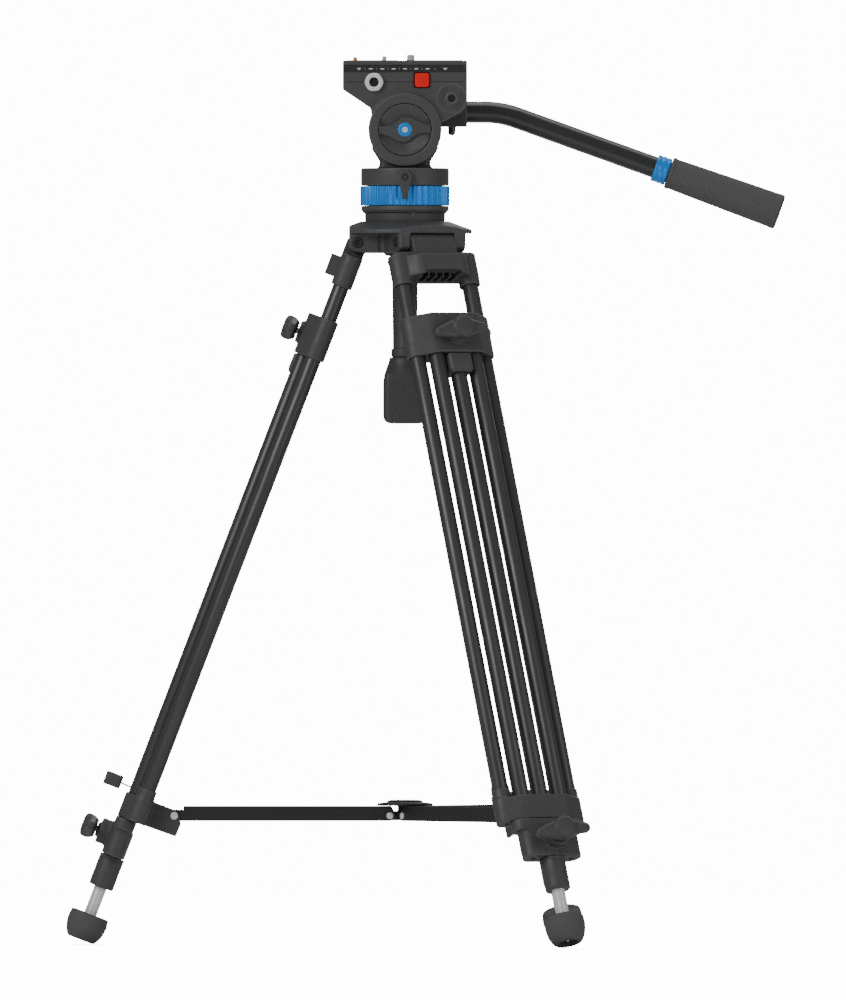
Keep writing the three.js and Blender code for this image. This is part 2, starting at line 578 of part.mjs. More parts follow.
/** Guide block, lower tube, ferrule and spiked rod, which slide as one. */
function lowerTubeSolid() {
  const blockTop = SLIDER_BOTTOM + GAP + 0.2;
  const block = box(0.5, 19.5, -18.4, 18.4, -GUIDE_BOTTOM, -blockTop);
  const rodR = 6.3;
  const ferruleTop = END_CAP_BOTTOM + GAP;
  return cut(
    union(
      block,
      rodZ(TUBE_R, -ferruleTop - 1, -blockTop, MID_N, 0),
      turned([
        [0, -ferruleTop], [12.2, -ferruleTop], [12.2, -FERRULE_BOTTOM], [rodR, -FERRULE_BOTTOM],
        [rodR, -FOOT_BOTTOM + 12], [0.8, -FOOT_BOTTOM + 2], [0, -FOOT_BOTTOM + 2],
      ], COARSE).translate([MID_N, 0, 0]),
    ),
    ...bothSides((side) => bore(TUBE_R + 0.6, blockTop - 1, GUIDE_BOTTOM + 1, MID_N, side * MID_T)),
    bore(TUBE_R - TUBE_WALL, blockTop - 1, ferruleTop - 5, MID_N, 0),
  );
}

function footSolid() {
  const boreR = 6.7;
  return turned([
    [boreR, -FOOT_TOP], [18, -FOOT_TOP], [19, -FOOT_TOP - 1.2], [19.7, -FOOT_TOP - 9],
    [18.9, -FOOT_TOP - 16], [16.8, -FOOT_TOP - 22], [FOOT_SOLE_R, -FOOT_BOTTOM], [boreR, -FOOT_BOTTOM],
    [boreR, -FOOT_TOP],
  ], 16).translate([MID_N, 0, 0]);
}

function addLeg(group, number) {
  const name = (what) => `leg_${number}_${what}`;
  const upperKnobA = 100.6;
  const lowerKnobA = 621.2;
  piece(group, name('yoke'), yokeSolid(), FINISH.casting);
  piece(group, name('slider'), sliderSolid(upperKnobA), FINISH.casting);
  piece(group, name('bracket'), bracketSolid(), FINISH.casting);
  piece(group, name('end_cap'), endCapSolid(lowerKnobA), FINISH.casting);
  piece(group, name('upper_knob'), knobSolid(24.7, upperKnobA, 19), FINISH.knob);
  piece(group, name('lower_knob'), knobSolid(33.4, lowerKnobA, 22), FINISH.knob);
  for (const [letter, side] of [['a', -1], ['b', 1]]) {
    const upper = hollow(TUBE_R, 27, BRACKET_BOTTOM - 3, 0, side * OUTER_T);
    const middle = hollow(TUBE_R, SLIDER_TOP + 8, END_CAP_BOTTOM - 5, MID_N, side * MID_T);
    piece(group, name(`upper_tube_${letter}`), upper, FINISH.tube);
    piece(group, name(`middle_tube_${letter}`), middle, FINISH.tube);
  }
  piece(group, name('lower_tube'), lowerTubeSolid(), FINISH.tube);
  piece(group, name('foot'), footSolid(), FINISH.rubber);
}

// ---------------------------------------------------------------- spreader
const PIVOT_R = HINGE_R + SPREADER_PIVOT_N * Math.cos(SPREAD) + SPREADER_PIVOT_A * Math.sin(SPREAD);
const PIVOT_Z = HINGE_Z + SPREADER_PIVOT_N * Math.sin(SPREAD) - SPREADER_PIVOT_A * Math.cos(SPREAD);
const ARM_LENGTH = PIVOT_R - HUB_PIVOT_R;

/** A channel from its hub pin at the origin, along +X, to its narrow end at the bracket. */
function armSolid() {
  const low = -5;
  const high = 9.4;
  const endHigh = 5.8;
  const step = ARM_LENGTH - 9;
  const side = new THREE.Shape();
  side.moveTo(0, low);
  side.lineTo(ARM_LENGTH, low);
  side.quadraticCurveTo(ARM_LENGTH + 5.2, low, ARM_LENGTH + 5.2, 0.4);
  side.quadraticCurveTo(ARM_LENGTH + 5.2, endHigh, ARM_LENGTH, endHigh);
  side.lineTo(step, endHigh);
  side.lineTo(step, high);
  side.lineTo(-1, high);
  side.lineTo(-4.4, 4);
  side.lineTo(-5, 0);
  side.quadraticCurveTo(-5, low, 0, low);
  const inside = ARM_HALF_WIDTH - ARM_WALL;
  return cut(
    sideSlab(side, -ARM_HALF_WIDTH, ARM_HALF_WIDTH),
    box(-20, ARM_LENGTH + 20, -inside, inside, -20, high - ARM_WALL),
    box(-20, 8, -inside, inside, -20, 20),
    box(step, ARM_LENGTH + 20, -inside, inside, -20, 20),
    rodY(3, -20, 20, 0, 0, 8),
    rodY(3, -20, 20, ARM_LENGTH, 0, 8),
  );
}

function addSpreader(group) {
  const discBottom = PIVOT_Z + 9.8;
  const lugHalf = 9.6;
  let hub = turned([
    [0, discBottom + 5.2], [16.5, discBottom + 5.2], [17, discBottom + 3.4], [27, discBottom + 2.4],
    [27, discBottom], [0, discBottom],
  ]);
  for (const azimuth of LEG_AZIMUTHS) {
    const lug = union(
      rodY(4.5, -lugHalf, lugHalf, HUB_PIVOT_R, PIVOT_Z, 8),
      box(0, HUB_PIVOT_R, -5.5, 5.5, PIVOT_Z - 4.5, PIVOT_Z + 4.5),
      box(0, 7, -4, 4, PIVOT_Z - 4.5, discBottom + 1),
      rodY(2.5, -ARM_HALF_WIDTH - 1.2, ARM_HALF_WIDTH + 1.2, HUB_PIVOT_R, PIVOT_Z, 8),
    );
    hub = hub.add(lug.rotate([0, 0, azimuth]));
  }
  piece(group, 'spreader_hub', hub, FINISH.dark);
  LEG_AZIMUTHS.forEach((azimuth, i) => {
    const turn = new THREE.Group();
    turn.rotation.z = THREE.MathUtils.degToRad(azimuth);
    const pivot = new THREE.Group();
    pivot.position.set(HUB_PIVOT_R, 0, PIVOT_Z);
    piece(pivot, `spreader_arm_${i + 1}`, armSolid(), FINISH.dark);
    turn.add(pivot);
    group.add(turn);
  });
}

// ---------------------------------------------------------------- the whole
const tripod = new THREE.Group();
addCrown(tripod);
addHeadBase(tripod);
addPanBase(tripod);
addTiltBody(tripod);
addPlate(tripod);
addPanBar(tripod);
addSpreader(tripod);
LEG_AZIMUTHS.forEach((azimuth, i) => {
  const turn = new THREE.Group();
  turn.rotation.z = THREE.MathUtils.degToRad(azimuth);
  const leg = new THREE.Group();
  leg.position.set(HINGE_R, 0, HINGE_Z);
  leg.rotation.y = -SPREAD;
  addLeg(leg, i + 1);
  turn.add(leg);
  tripod.add(turn);
});

// The pan bar reaches further than the legs, so the pan axis stands off the footprint's middle.
const extent = new THREE.Box3().setFromObject(tripod, true);
tripod.position.x = -(extent.min.x + extent.max.x) / 2;
tripod.updateMatrixWorld(true);

export default tripod;
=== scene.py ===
"""A tripod with a fluid head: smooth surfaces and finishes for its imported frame.

Sizes are in millimetres. A leg's own axes are n (outwards), t (sideways) and up the leg, with the hinge
pin at the origin, so a station a down the leg is at height -a.
"""
import json
import math

import bpy
import numpy as np
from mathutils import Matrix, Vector


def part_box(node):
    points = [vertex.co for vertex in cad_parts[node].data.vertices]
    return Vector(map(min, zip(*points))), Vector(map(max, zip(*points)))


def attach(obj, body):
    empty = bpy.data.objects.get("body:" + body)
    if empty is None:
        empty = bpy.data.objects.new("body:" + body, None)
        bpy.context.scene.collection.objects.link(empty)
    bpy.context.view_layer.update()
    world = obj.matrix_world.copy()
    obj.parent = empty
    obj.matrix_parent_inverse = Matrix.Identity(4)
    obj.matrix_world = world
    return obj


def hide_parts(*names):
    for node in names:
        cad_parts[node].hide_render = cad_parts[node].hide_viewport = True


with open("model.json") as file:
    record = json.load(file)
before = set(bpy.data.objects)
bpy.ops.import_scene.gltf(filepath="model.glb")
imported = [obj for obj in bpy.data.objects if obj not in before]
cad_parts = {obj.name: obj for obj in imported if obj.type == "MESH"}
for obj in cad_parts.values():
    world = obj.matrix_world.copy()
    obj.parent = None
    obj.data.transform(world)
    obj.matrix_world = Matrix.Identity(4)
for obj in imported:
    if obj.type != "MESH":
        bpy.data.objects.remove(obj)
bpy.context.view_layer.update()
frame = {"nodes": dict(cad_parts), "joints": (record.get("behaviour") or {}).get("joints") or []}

bl_info = {
    "name": "Tripod with fluid head",
    "version": (1, 0, 0),
    "blender": (4, 5, 0),
    "location": "View3D > Sidebar > Tripod",
    "description": "Makes the pieces, finishes and studio of a tripod with a fluid head",
    "category": "Object",
}

MM = 0.001
WHITE = 14.0  # how bright the surround and floor look
AMBIENT = 0.22  # how bright the surround shines on the tripod
LEGS = (1, 2, 3)
SIDES = (("a", -1), ("b", 1))
JOINTS = {joint["name"]: joint for joint in frame["joints"]}


# ---------------------------------------------------------------- places, from the frame
def low(node):
    """The node's lowest corner in millimetres."""
    return np.array(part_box(node)[0]) / MM


def high(node):
    """The node's highest corner in millimetres."""
    return np.array(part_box(node)[1]) / MM


def joint_place(name):
    return np.array(JOINTS[name]["pos_m"]) / MM


PAN_X = joint_place("pan")[0]
BALL_Z = joint_place("level_x")[2]
TILT_Z = joint_place("tilt")[2]
PLATE_TOP = high("camera_plate")[2]
BODY_TOP = low("camera_plate")[2]
HEAD_WIDTH = high("tilt_body")[0] - low("tilt_body")[0]
RAIL_FACE = -high("tilt_body")[1]
RING_LOW, RING_HIGH = low("pan_drag_ring")[2], high("pan_drag_ring")[2]
ROSETTE_X, ROSETTE_Z = joint_place("handle_turn")[0] - PAN_X, joint_place("handle_turn")[2]

AXES = {
    "z": np.eye(3),
    "-z": np.array([[1, 0, 0], [0, -1, 0], [0, 0, -1]]).T,
    "x": np.array([[0, 1, 0], [0, 0, 1], [1, 0, 0]]).T,
    "y": np.array([[1, 0, 0], [0, 0, -1], [0, 1, 0]]).T,
    "front": np.array([[1, 0, 0], [0, 0, 1], [0, -1, 0]]).T,
}


def placed(turn, at):
    """A 4 x 4 matrix from a turn's columns and a place."""
    matrix = np.eye(4)
    matrix[:3, :3] = turn
    matrix[:3, 3] = at
    return matrix


def on_head(x, y, z, axis="z"):
    """Local Z along the named axis, at x from the pan axis."""
    return placed(AXES[axis], (PAN_X + x, y, z))


def leg_frame(leg):
    """Columns n, t and up, at the leg's hinge pin."""
    sideways = np.array(JOINTS[f"leg_{leg}_fold"]["axis"])
    up = -np.array(JOINTS[f"leg_{leg}_middle_slide"]["axis"])
    outwards = np.cross(sideways, up)
    return placed(np.column_stack([outwards, sideways, up]), joint_place(f"leg_{leg}_fold"))


def on_leg(leg, n=0.0, t=0.0, a=0.0, axis="z"):
    """Local Z up the leg, or along n where axis is "x" and along t where it is "y"."""
    return leg_frame(leg) @ placed(AXES[axis], (n, t, -a))


def spreader_frame(leg):
    """Axes outwards, sideways and up, at an arm's hub pin."""
    sideways = np.array(JOINTS[f"arm_{leg}_fold"]["axis"])
    outwards = np.cross(sideways, (0, 0, 1))
    return placed(np.column_stack([outwards, sideways, (0, 0, 1)]), joint_place(f"arm_{leg}_fold"))


# ---------------------------------------------------------------- surfaces
def softened(points, reach, steps=4, closed=False):
    """A polyline with each corner P drawn as the quadratic curve A(1-s)^2 + 2Ps(1-s) + Bs^2, where A
    and B lie on its two edges, reach away or half an edge away."""
    points = np.asarray(points, float)
    count = len(points)
    made = [] if closed else [points[:1]]
    s = np.linspace(0, 1, steps + 1)[:, None]
    for i in range(0 if closed else 1, count if closed else count - 1):
        before, corner, after = points[i - 1], points[i], points[(i + 1) % count]
        ends = []
        for other in (before, after):
            length = max(np.linalg.norm(other - corner), 1e-9)
            ends.append(corner + (other - corner) * min(reach / length, 0.49))
        made.append(ends[0] * (1 - s) ** 2 + 2 * corner * s * (1 - s) + ends[1] * s**2)
    if not closed:
        made.append(points[-1:])
    return np.vstack(made)


def turned(profile, sides=48, swell=None):
    """Rings (r cos u, r sin u, h) for a profile of (r, h), with r times swell(u, h) where it is given."""
    profile = np.asarray(profile, float)
    u = np.linspace(0, 2 * math.pi, sides, endpoint=False)[None, :]
    r, h = profile[:, :1], profile[:, 1:] + 0 * u
    if swell is not None:
        r = r * swell(u, h)
    return np.stack([r * np.cos(u), r * np.sin(u), h], axis=-1)


def lathe(profile, corner, steps, sides, closed=False):
    """A turned profile of (r, h) with softened corners."""
    return turned(softened(profile, corner, steps, closed), sides)


def threaded(radius, start, end, pitch):
    """A thread r + 0.2 (1 - 4 |p - 1/2|), where p is the fraction of h / pitch + u / 2 pi."""
    heights = np.arange(start, end, pitch / 8)[:, None]
    u = np.linspace(0, 2 * math.pi, 36, endpoint=False)[None, :]
    r = radius + 0.2 * (1 - 4 * np.abs((heights / pitch + u / (2 * math.pi)) % 1 - 0.5))
    return np.stack([r * np.cos(u), r * np.sin(u), heights + 0 * u], axis=-1)


def wrapped(circles, points=120):
    """The tight outline round circles (x, y, r): in each direction d, the furthest centre + r d."""
    circles = np.asarray(circles, float)
    u = np.linspace(0, 2 * math.pi, points, endpoint=False)
    d = np.column_stack([np.cos(u), np.sin(u)])
    furthest = circles[np.argmax(d @ circles[:, :2].T + circles[:, 2], axis=1)]
    return furthest[:, :2] + furthest[:, 2:] * d


def eased(value):
    """Rises from 0 to 1 as 3 v^2 - 2 v^3."""
    v = np.clip(value, 0, 1)
    return v * v * (3 - 2 * v)


def rectangle(width, height, corner, steps=5):
    """A rectangle's outline with rounded corners, round its middle."""
    x, y = width / 2, height / 2
    return softened([(-x, -y), (x, -y), (x, y), (-x, y)], corner, steps, closed=True)


def soft_ends(start, end, edge, steps=4):
    """Levels (inset, height) of a prism whose two rims are quarter rounds of the given radius."""
    angle = np.linspace(0, math.pi / 2, steps + 1)
    inset, rise = edge * (1 - np.sin(angle)), edge * (1 - np.cos(angle))
    lower = np.column_stack([inset, start + rise])
    return np.vstack([lower, np.column_stack([inset, end - rise])[::-1]])


def prism(outline, levels):
    """Rings that repeat an anticlockwise outline at each level, moved inwards along its normals by the
    level's inset."""
    along = np.roll(outline, -1, axis=0) - np.roll(outline, 1, axis=0)
    along /= np.maximum(np.linalg.norm(along, axis=1, keepdims=True), 1e-9)
    outwards = np.column_stack([along[:, 1], -along[:, 0]])
    levels = np.asarray(levels, float)
    flat = outline[None] - outwards[None] * levels[:, 0, None, None]
    height = np.broadcast_to(levels[:, 1, None, None], flat.shape[:2] + (1,))
    return np.concatenate([flat, height], axis=-1)


def swept(path, radius, sides=40):
    """Rings p + r (N cos u + Y sin u) along a path p in an XZ plane, with N its normal in the plane."""
    path = np.asarray(path, float)
    along = np.gradient(path, axis=0)
    along /= np.linalg.norm(along, axis=1, keepdims=True)
    across = np.array([0.0, 1.0, 0.0])
    normal = np.cross(across, along)[:, None]
    u = np.linspace(0, 2 * math.pi, sides, endpoint=False)[None, :, None]
    r = np.broadcast_to(radius, len(path))[:, None, None]
    return path[:, None] + r * (normal * np.cos(u) + across * np.sin(u))


class Shell:
    """Closed skins in millimetres, gathered into one piece's mesh, with a UV map in metres."""

    def __init__(self):
        self.points, self.corners, self.sizes, self.uvs = [], [], [], []
        self.count = 0

    def skin(self, rings, place=None, closed=False):
        """Skins a grid of rings. The last ring joins the first where closed, and otherwise a fan to its
        mean point fills each end ring. Faces are turned round if the enclosed volume is negative."""
        rings = np.asarray(rings, float)
        rows, round_ = rings.shape[:2]
        flat = rings.reshape(-1, 3)
        around = np.roll(rings, -1, axis=1) - rings
        u = np.cumsum(np.linalg.norm(around, axis=2), axis=1)
        u = np.concatenate([np.zeros((rows, 1)), u], axis=1)
        step = np.linalg.norm(np.diff(rings, axis=0), axis=2).mean(axis=1)
        v = np.concatenate([[0], np.cumsum(step)])
        if closed:
            gap = np.linalg.norm(rings[0] - rings[-1], axis=1).mean()
            v = np.append(v, v[-1] + gap)
            u = np.vstack([u, u[:1]])
        i, j = np.meshgrid(np.arange(rows if closed else rows - 1), np.arange(round_), indexing="ij")
        i, j = i.ravel(), j.ravel()
        right = (j + 1) % round_
        up = (i + 1) % rows
        quads = np.column_stack([i * round_ + j, i * round_ + right, up * round_ + right, up * round_ + j])
        quad_uv = np.stack([
            np.column_stack([u[i, j], v[i]]), np.column_stack([u[i, j + 1], v[i]]),
            np.column_stack([u[i + 1, j + 1], v[i + 1]]), np.column_stack([u[i + 1, j], v[i + 1]]),
        ], axis=1)
        faces = [(quads, quad_uv)]
        if not closed:
            middles = rings[[0, -1]].mean(axis=1)
            flat = np.vstack([flat, middles])
            k = np.arange(round_)
            following = (k + 1) % round_
            last = (rows - 1) * round_
            for fan, row in (
                (np.column_stack([following, k, np.full(round_, rows * round_)]), 0),
                (np.column_stack([last + k, last + following, np.full(round_, rows * round_ + 1)]), -1),
            ):
                faces.append((fan, flat[fan][:, :, :2] + 0 * row))
        volume = 0.0
        for face, _ in faces:
            for third in range(2, face.shape[1]):
                a, b, c = flat[face[:, 0]], flat[face[:, third - 1]], flat[face[:, third]]
                volume += np.einsum("ij,ij->", a, np.cross(b, c))
        matrix = np.eye(4) if place is None else place
        for face, uv in faces:
            if volume < 0:
                face, uv = face[:, ::-1], uv[:, ::-1]
            self.corners.append((face + self.count).ravel())
            self.sizes.append(np.full(len(face), face.shape[1]))
            self.uvs.append(uv.reshape(-1, 2) * MM)
        self.points.append(flat @ matrix[:3, :3].T + matrix[:3, 3])
        self.count += len(flat)
        return self

    def node(self, name):
        """Adds a CAD node's own closed solid."""
        obj = frame["nodes"][name]
        mesh = obj.data
        points = np.empty(len(mesh.vertices) * 3)
        mesh.vertices.foreach_get("co", points)
        corners = np.empty(len(mesh.loops), int)
        mesh.loops.foreach_get("vertex_index", corners)
        sizes = np.empty(len(mesh.polygons), int)
        mesh.polygons.foreach_get("loop_total", sizes)
        place = np.array(obj.matrix_world)
        self.points.append((points.reshape(-1, 3) @ place[:3, :3].T + place[:3, 3]) / MM)
        self.corners.append(corners + self.count)
        self.sizes.append(sizes)
        self.uvs.append(np.zeros((len(corners), 2)))
        self.count += len(mesh.vertices)
        return self

    def made(self, name, finish, crease=38.0):
        """The skins as one Blender object."""
        mesh = bpy.data.meshes.new(name)
        points = np.vstack(self.points) * MM
        corners, sizes = np.concatenate(self.corners), np.concatenate(self.sizes)
        mesh.vertices.add(len(points))
        mesh.vertices.foreach_set("co", points.ravel())
        mesh.loops.add(len(corners))
        mesh.loops.foreach_set("vertex_index", corners)
        mesh.polygons.add(len(sizes))
        mesh.polygons.foreach_set("loop_start", np.concatenate([[0], np.cumsum(sizes)[:-1]]))
        mesh.polygons.foreach_set("loop_total", sizes)
        mesh.update(calc_edges=True)
        mesh.uv_layers.new(name="surface").data.foreach_set("uv", np.vstack(self.uvs).ravel())
        mesh.shade_smooth()
        mesh.set_sharp_from_angle(angle=math.radians(crease))
        obj = bpy.data.objects.new(name, mesh)
        bpy.context.scene.collection.objects.link(obj)
        mesh.materials.append(look(finish))
        return obj

    def piece(self, name, finish, body, replaces=(), slot=None, crease=38.0):
        """The skins as a piece that rides on a body, and may stand for CAD nodes. Its slot is not used."""
        obj = self.made(name, finish, crease)
        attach(obj, body)
        if replaces:
            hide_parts(*replaces)
        return obj


def fuse(obj, detail, rounds):
    """Rebuilds an object's solids as one on a grid of detail millimetres, with rounded corners."""
    remesh = obj.modifiers.new("fine grid", "REMESH")
    remesh.mode = "VOXEL"
    remesh.voxel_size = detail * MM
    remesh.use_smooth_shade = True
    smooth = obj.modifiers.new("rounded edges", "SMOOTH")
    smooth.factor = 0.5
    smooth.iterations = rounds


def cast_node(node, finish, detail, rounds):
    """Finishes a CAD node as a casting."""
    obj = frame["nodes"][node]
    fuse(obj, detail, rounds)
    repaint(obj, finish)


def pressed_node(node, finish, edge):
    """Finishes a CAD node as pressed sheet: its edges are eased with a narrow bevel."""
    obj = frame["nodes"][node]
    weld = obj.modifiers.new("joined", "WELD")
    weld.merge_threshold = 0.01 * MM
    bevel = obj.modifiers.new("eased edges", "BEVEL")
    bevel.width = edge * MM
    bevel.segments = 2
    bevel.limit_method = "ANGLE"
    bevel.angle_limit = math.radians(35)
    repaint(obj, finish)


def repaint(obj, finish):
    obj.data.materials.clear()
    obj.data.materials.append(look(finish))


def cast_piece(shell, name, finish, body, replaces, detail, rounds):
    """Makes overlapping skins into one casting."""
    fuse(shell.piece(name, finish, body, replaces), detail, rounds)


# ---------------------------------------------------------------- finishes
class Finish:
    """A material's node tree with one shader, built up by its methods."""

    def __init__(self, name, roughness, metallic=0.0, coords="Object"):
        self.material = bpy.data.materials.new(name)
        self.material.use_nodes = True
        self.tree = self.material.node_tree
        self.tree.nodes.clear()
        output = self.add("ShaderNodeOutputMaterial")
        self.shader = self.add("ShaderNodeBsdfPrincipled")
        self.shader.inputs["Roughness"].default_value = roughness
        self.shader.inputs["Metallic"].default_value = metallic
        self.tree.links.new(self.shader.outputs["BSDF"], output.inputs["Surface"])
        self.coords = self.add("ShaderNodeTexCoord").outputs[coords]
        self.height = None

    def add(self, kind, **settings):
        node = self.tree.nodes.new(kind)
        for key, value in settings.items():
            setattr(node, key, value)
        return node

    def link(self, source, node, socket):
        self.tree.links.new(source, node.inputs[socket])

    def stretched(self, stretch):
        if stretch is None:
            return self.coords
        mapping = self.add("ShaderNodeMapping")
        mapping.inputs["Scale"].default_value = stretch
        self.link(self.coords, mapping, "Vector")
        return mapping.outputs["Vector"]

    def noise(self, size, detail=3.0, stretch=None):
        """Noise whose lumps are about size millimetres."""
        node = self.add("ShaderNodeTexNoise")
        node.inputs["Scale"].default_value = 1 / (size * MM)
        node.inputs["Detail"].default_value = detail
        self.link(self.stretched(stretch), node, "Vector")
        return node.outputs["Fac"]

    def cells(self, size, stretch=None, smooth=True):
        """Rounded cells about size millimetres apart, as distance from their middles."""
        node = self.add("ShaderNodeTexVoronoi", feature="SMOOTH_F1" if smooth else "F1")
        node.inputs["Scale"].default_value = 1 / (size * MM)
        self.link(self.stretched(stretch), node, "Vector")
        return node.outputs["Distance"]

    def ranged(self, source, low_, high_, start=0.3, end=0.7):
        node = self.add("ShaderNodeMapRange")
        for key, value in (("From Min", start), ("From Max", end), ("To Min", low_), ("To Max", high_)):
            node.inputs[key].default_value = value
        self.link(source, node, "Value")
        return node.outputs["Result"]

    def blended(self, fac, first, second):
        """One colour or another by fac; each is a colour or a socket."""
        node = self.add("ShaderNodeMix", data_type="RGBA")
        self.tree.links.new(fac, node.inputs["Factor"])
        for key, value in (("A", first), ("B", second)):
            socket = next(s for s in node.inputs if s.name == key and s.type == "RGBA")
            if isinstance(value, bpy.types.NodeSocket):
                self.tree.links.new(value, socket)
            else:
                socket.default_value = (*value, 1.0)
        return next(s for s in node.outputs if s.type == "RGBA")

    def shade(self, colour, source, spread, start=0.3, end=0.7):
        """The colour, from spread darker to spread lighter as the source rises."""
        fac = self.ranged(source, 0.0, 1.0, start, end)
        dark = [channel * (1 - spread) for channel in colour]
        light = [min(channel * (1 + spread), 1.0) for channel in colour]
        return self.blended(fac, dark, light)

    def colour(self, socket):
        self.link(socket, self.shader, "Base Color")

    def rough(self, socket):
        self.link(socket, self.shader, "Roughness")

    def relief(self, source, depth, strength=1.0):
        """Raises the surface by depth millimetres where the source is high; calls add up."""
        bump = self.add("ShaderNodeBump")
        bump.inputs["Strength"].default_value = strength
        bump.inputs["Distance"].default_value = depth * MM
        self.link(source, bump, "Height")
        if self.height is not None:
            self.link(self.height, bump, "Normal")
        self.height = bump.outputs["Normal"]
        self.link(self.height, self.shader, "Normal")

    def painted_edge_highlight(self, base, light, start=0.515, end=0.57):
        """Blends towards a lighter colour where the surface bends outwards sharply: a painted highlight
        along the edges.
        """
        bend = self.add("ShaderNodeNewGeometry").outputs["Pointiness"]
        return self.blended(self.ranged(bend, 0.0, 1.0, start, end), base, light)


def casting_finish(colours):
    """Charcoal powder coat: a fine grain, blotches of sheen, and a painted highlight that makes the edges a
    little lighter.
    """
    made = Finish("charcoal casting", 0.5, 0.15)
    colour = tuple(colours.casting)
    grain = made.shade(colour, made.noise(0.7, 4.0), 0.18)
    # painted highlight: the sharp edges are drawn twice as light as the coat
    edge_highlight_colour = tuple(min(c * 2.0, 1.0) for c in colour)
    made.colour(made.painted_edge_highlight(grain, edge_highlight_colour))
    made.rough(made.ranged(made.noise(9.0, 3.0), 0.44, 0.6))
    made.relief(made.noise(0.55, 4.0), 0.03)
    made.relief(made.cells(1.1), 0.02)
    return made.material


def plastic_finish(colours):
    """Moulded black plastic with a spark-eroded texture, and a painted highlight that makes the edges
    lighter.
    """
    made = Finish("moulded black plastic", 0.48)
    colour = tuple(colours.plastic)
    # painted highlight: the sharp edges are drawn 1.6 times as light as the plastic
    made.colour(made.painted_edge_highlight(made.shade(colour, made.noise(1.2, 3.0), 0.2),
                                tuple(c * 1.6 for c in colour)))
    made.rough(made.ranged(made.noise(0.9, 3.0), 0.42, 0.58))
    made.relief(made.noise(0.35, 3.0), 0.04)
    return made.material


def rubber_finish(colours):
    """Grey-black rubber: bloom in blotches over a pitted skin."""
    made = Finish("moulded rubber", 0.75)
    colour = tuple(colours.rubber)
    grain = made.shade(colour, made.noise(0.6, 4.0), 0.2)
    bloom = made.ranged(made.noise(12.0, 4.0), 0.0, 0.35, 0.45, 0.75)
    made.colour(made.blended(bloom, grain, tuple(c * 1.3 for c in colour)))
    made.rough(made.ranged(made.noise(4.0, 3.0), 0.66, 0.85))
    made.relief(made.noise(0.5, 4.0), 0.03)
    return made.material


def grip_finish(colours):
    """Soft grip rubber: small raised studs in close rows round the grip, with painted shade between them.
    """
    made = Finish("studded grip rubber", 0.7, 0.0, "UV")
    colour = tuple(colours.rubber)
    studs = made.cells(1.5, smooth=False)
    # painted shade and highlight: lighter on the studs and darker between them, following their relief
    made.colour(made.shade(colour, studs, -0.12, 0.1, 0.6))
    made.rough(made.ranged(made.noise(3.0, 3.0), 0.6, 0.8))
    made.relief(studs, -0.08)
    return made.material


def floor_finish(colours):
    """Pale paper that looks as white as the surround, with a painted shadow where something stands on it:
    ambient occlusion dims the glow that the camera sees.
    """
    made = Finish("pale paper floor", 0.9)
    made.colour(made.shade(tuple(colours.floor), made.noise(40.0, 3.0), 0.01))
    made.rough(made.ranged(made.noise(12.0, 3.0), 0.85, 0.95))
    # painted contact shadow: the floor's glow is dimmed where something stands near it
    near = made.add("ShaderNodeAmbientOcclusion")
    near.inputs["Distance"].default_value = 0.03
    glow = made.ranged(near.outputs["AO"], 2.5, WHITE, 0.3, 0.9)
    seen = made.add("ShaderNodeLightPath").outputs["Is Camera Ray"]
    strength = made.add("ShaderNodeMath", operation="MULTIPLY")
    made.tree.links.new(glow, strength.inputs[0])
    made.tree.links.new(seen, strength.inputs[1])
    made.shader.inputs["Emission Color"].default_value = (1, 1, 1, 1)
    made.link(strength.outputs["Value"], made.shader, "Emission Strength")
    return made.material


def plain_finish(colours, title, colour, roughness, metallic, coords, grain, sheen, bumps):
    """A finish from three noises, each given as size, detail and stretch, then its effect: how far the
    grain darkens and lightens the colour, the sheen's two roughnesses, and the depth of the bumps."""
    made = Finish(title, roughness, metallic, coords)
    made.colour(made.shade(tuple(getattr(colours, colour)), made.noise(*grain[:3]), grain[3]))
    made.rough(made.ranged(made.noise(*sheen[:3]), *sheen[3:]))
    made.relief(made.noise(*bumps[:3]), bumps[3])
    return made


def bar_finish(colours):
    """Glossy black coat with slight waviness and dust."""
    made = plain_finish(colours, "glossy black bar", "bar", 0.2, 0.35, "UV",
                        (2.0, 5.0, None, 0.12), (3.0, 6.0, None, 0.2, 0.28), (9.0, 2.0, None, 0.02))
    made.shader.inputs["Coat Weight"].default_value = 0.6
    made.shader.inputs["Coat Roughness"].default_value = 0.12
    return made.material


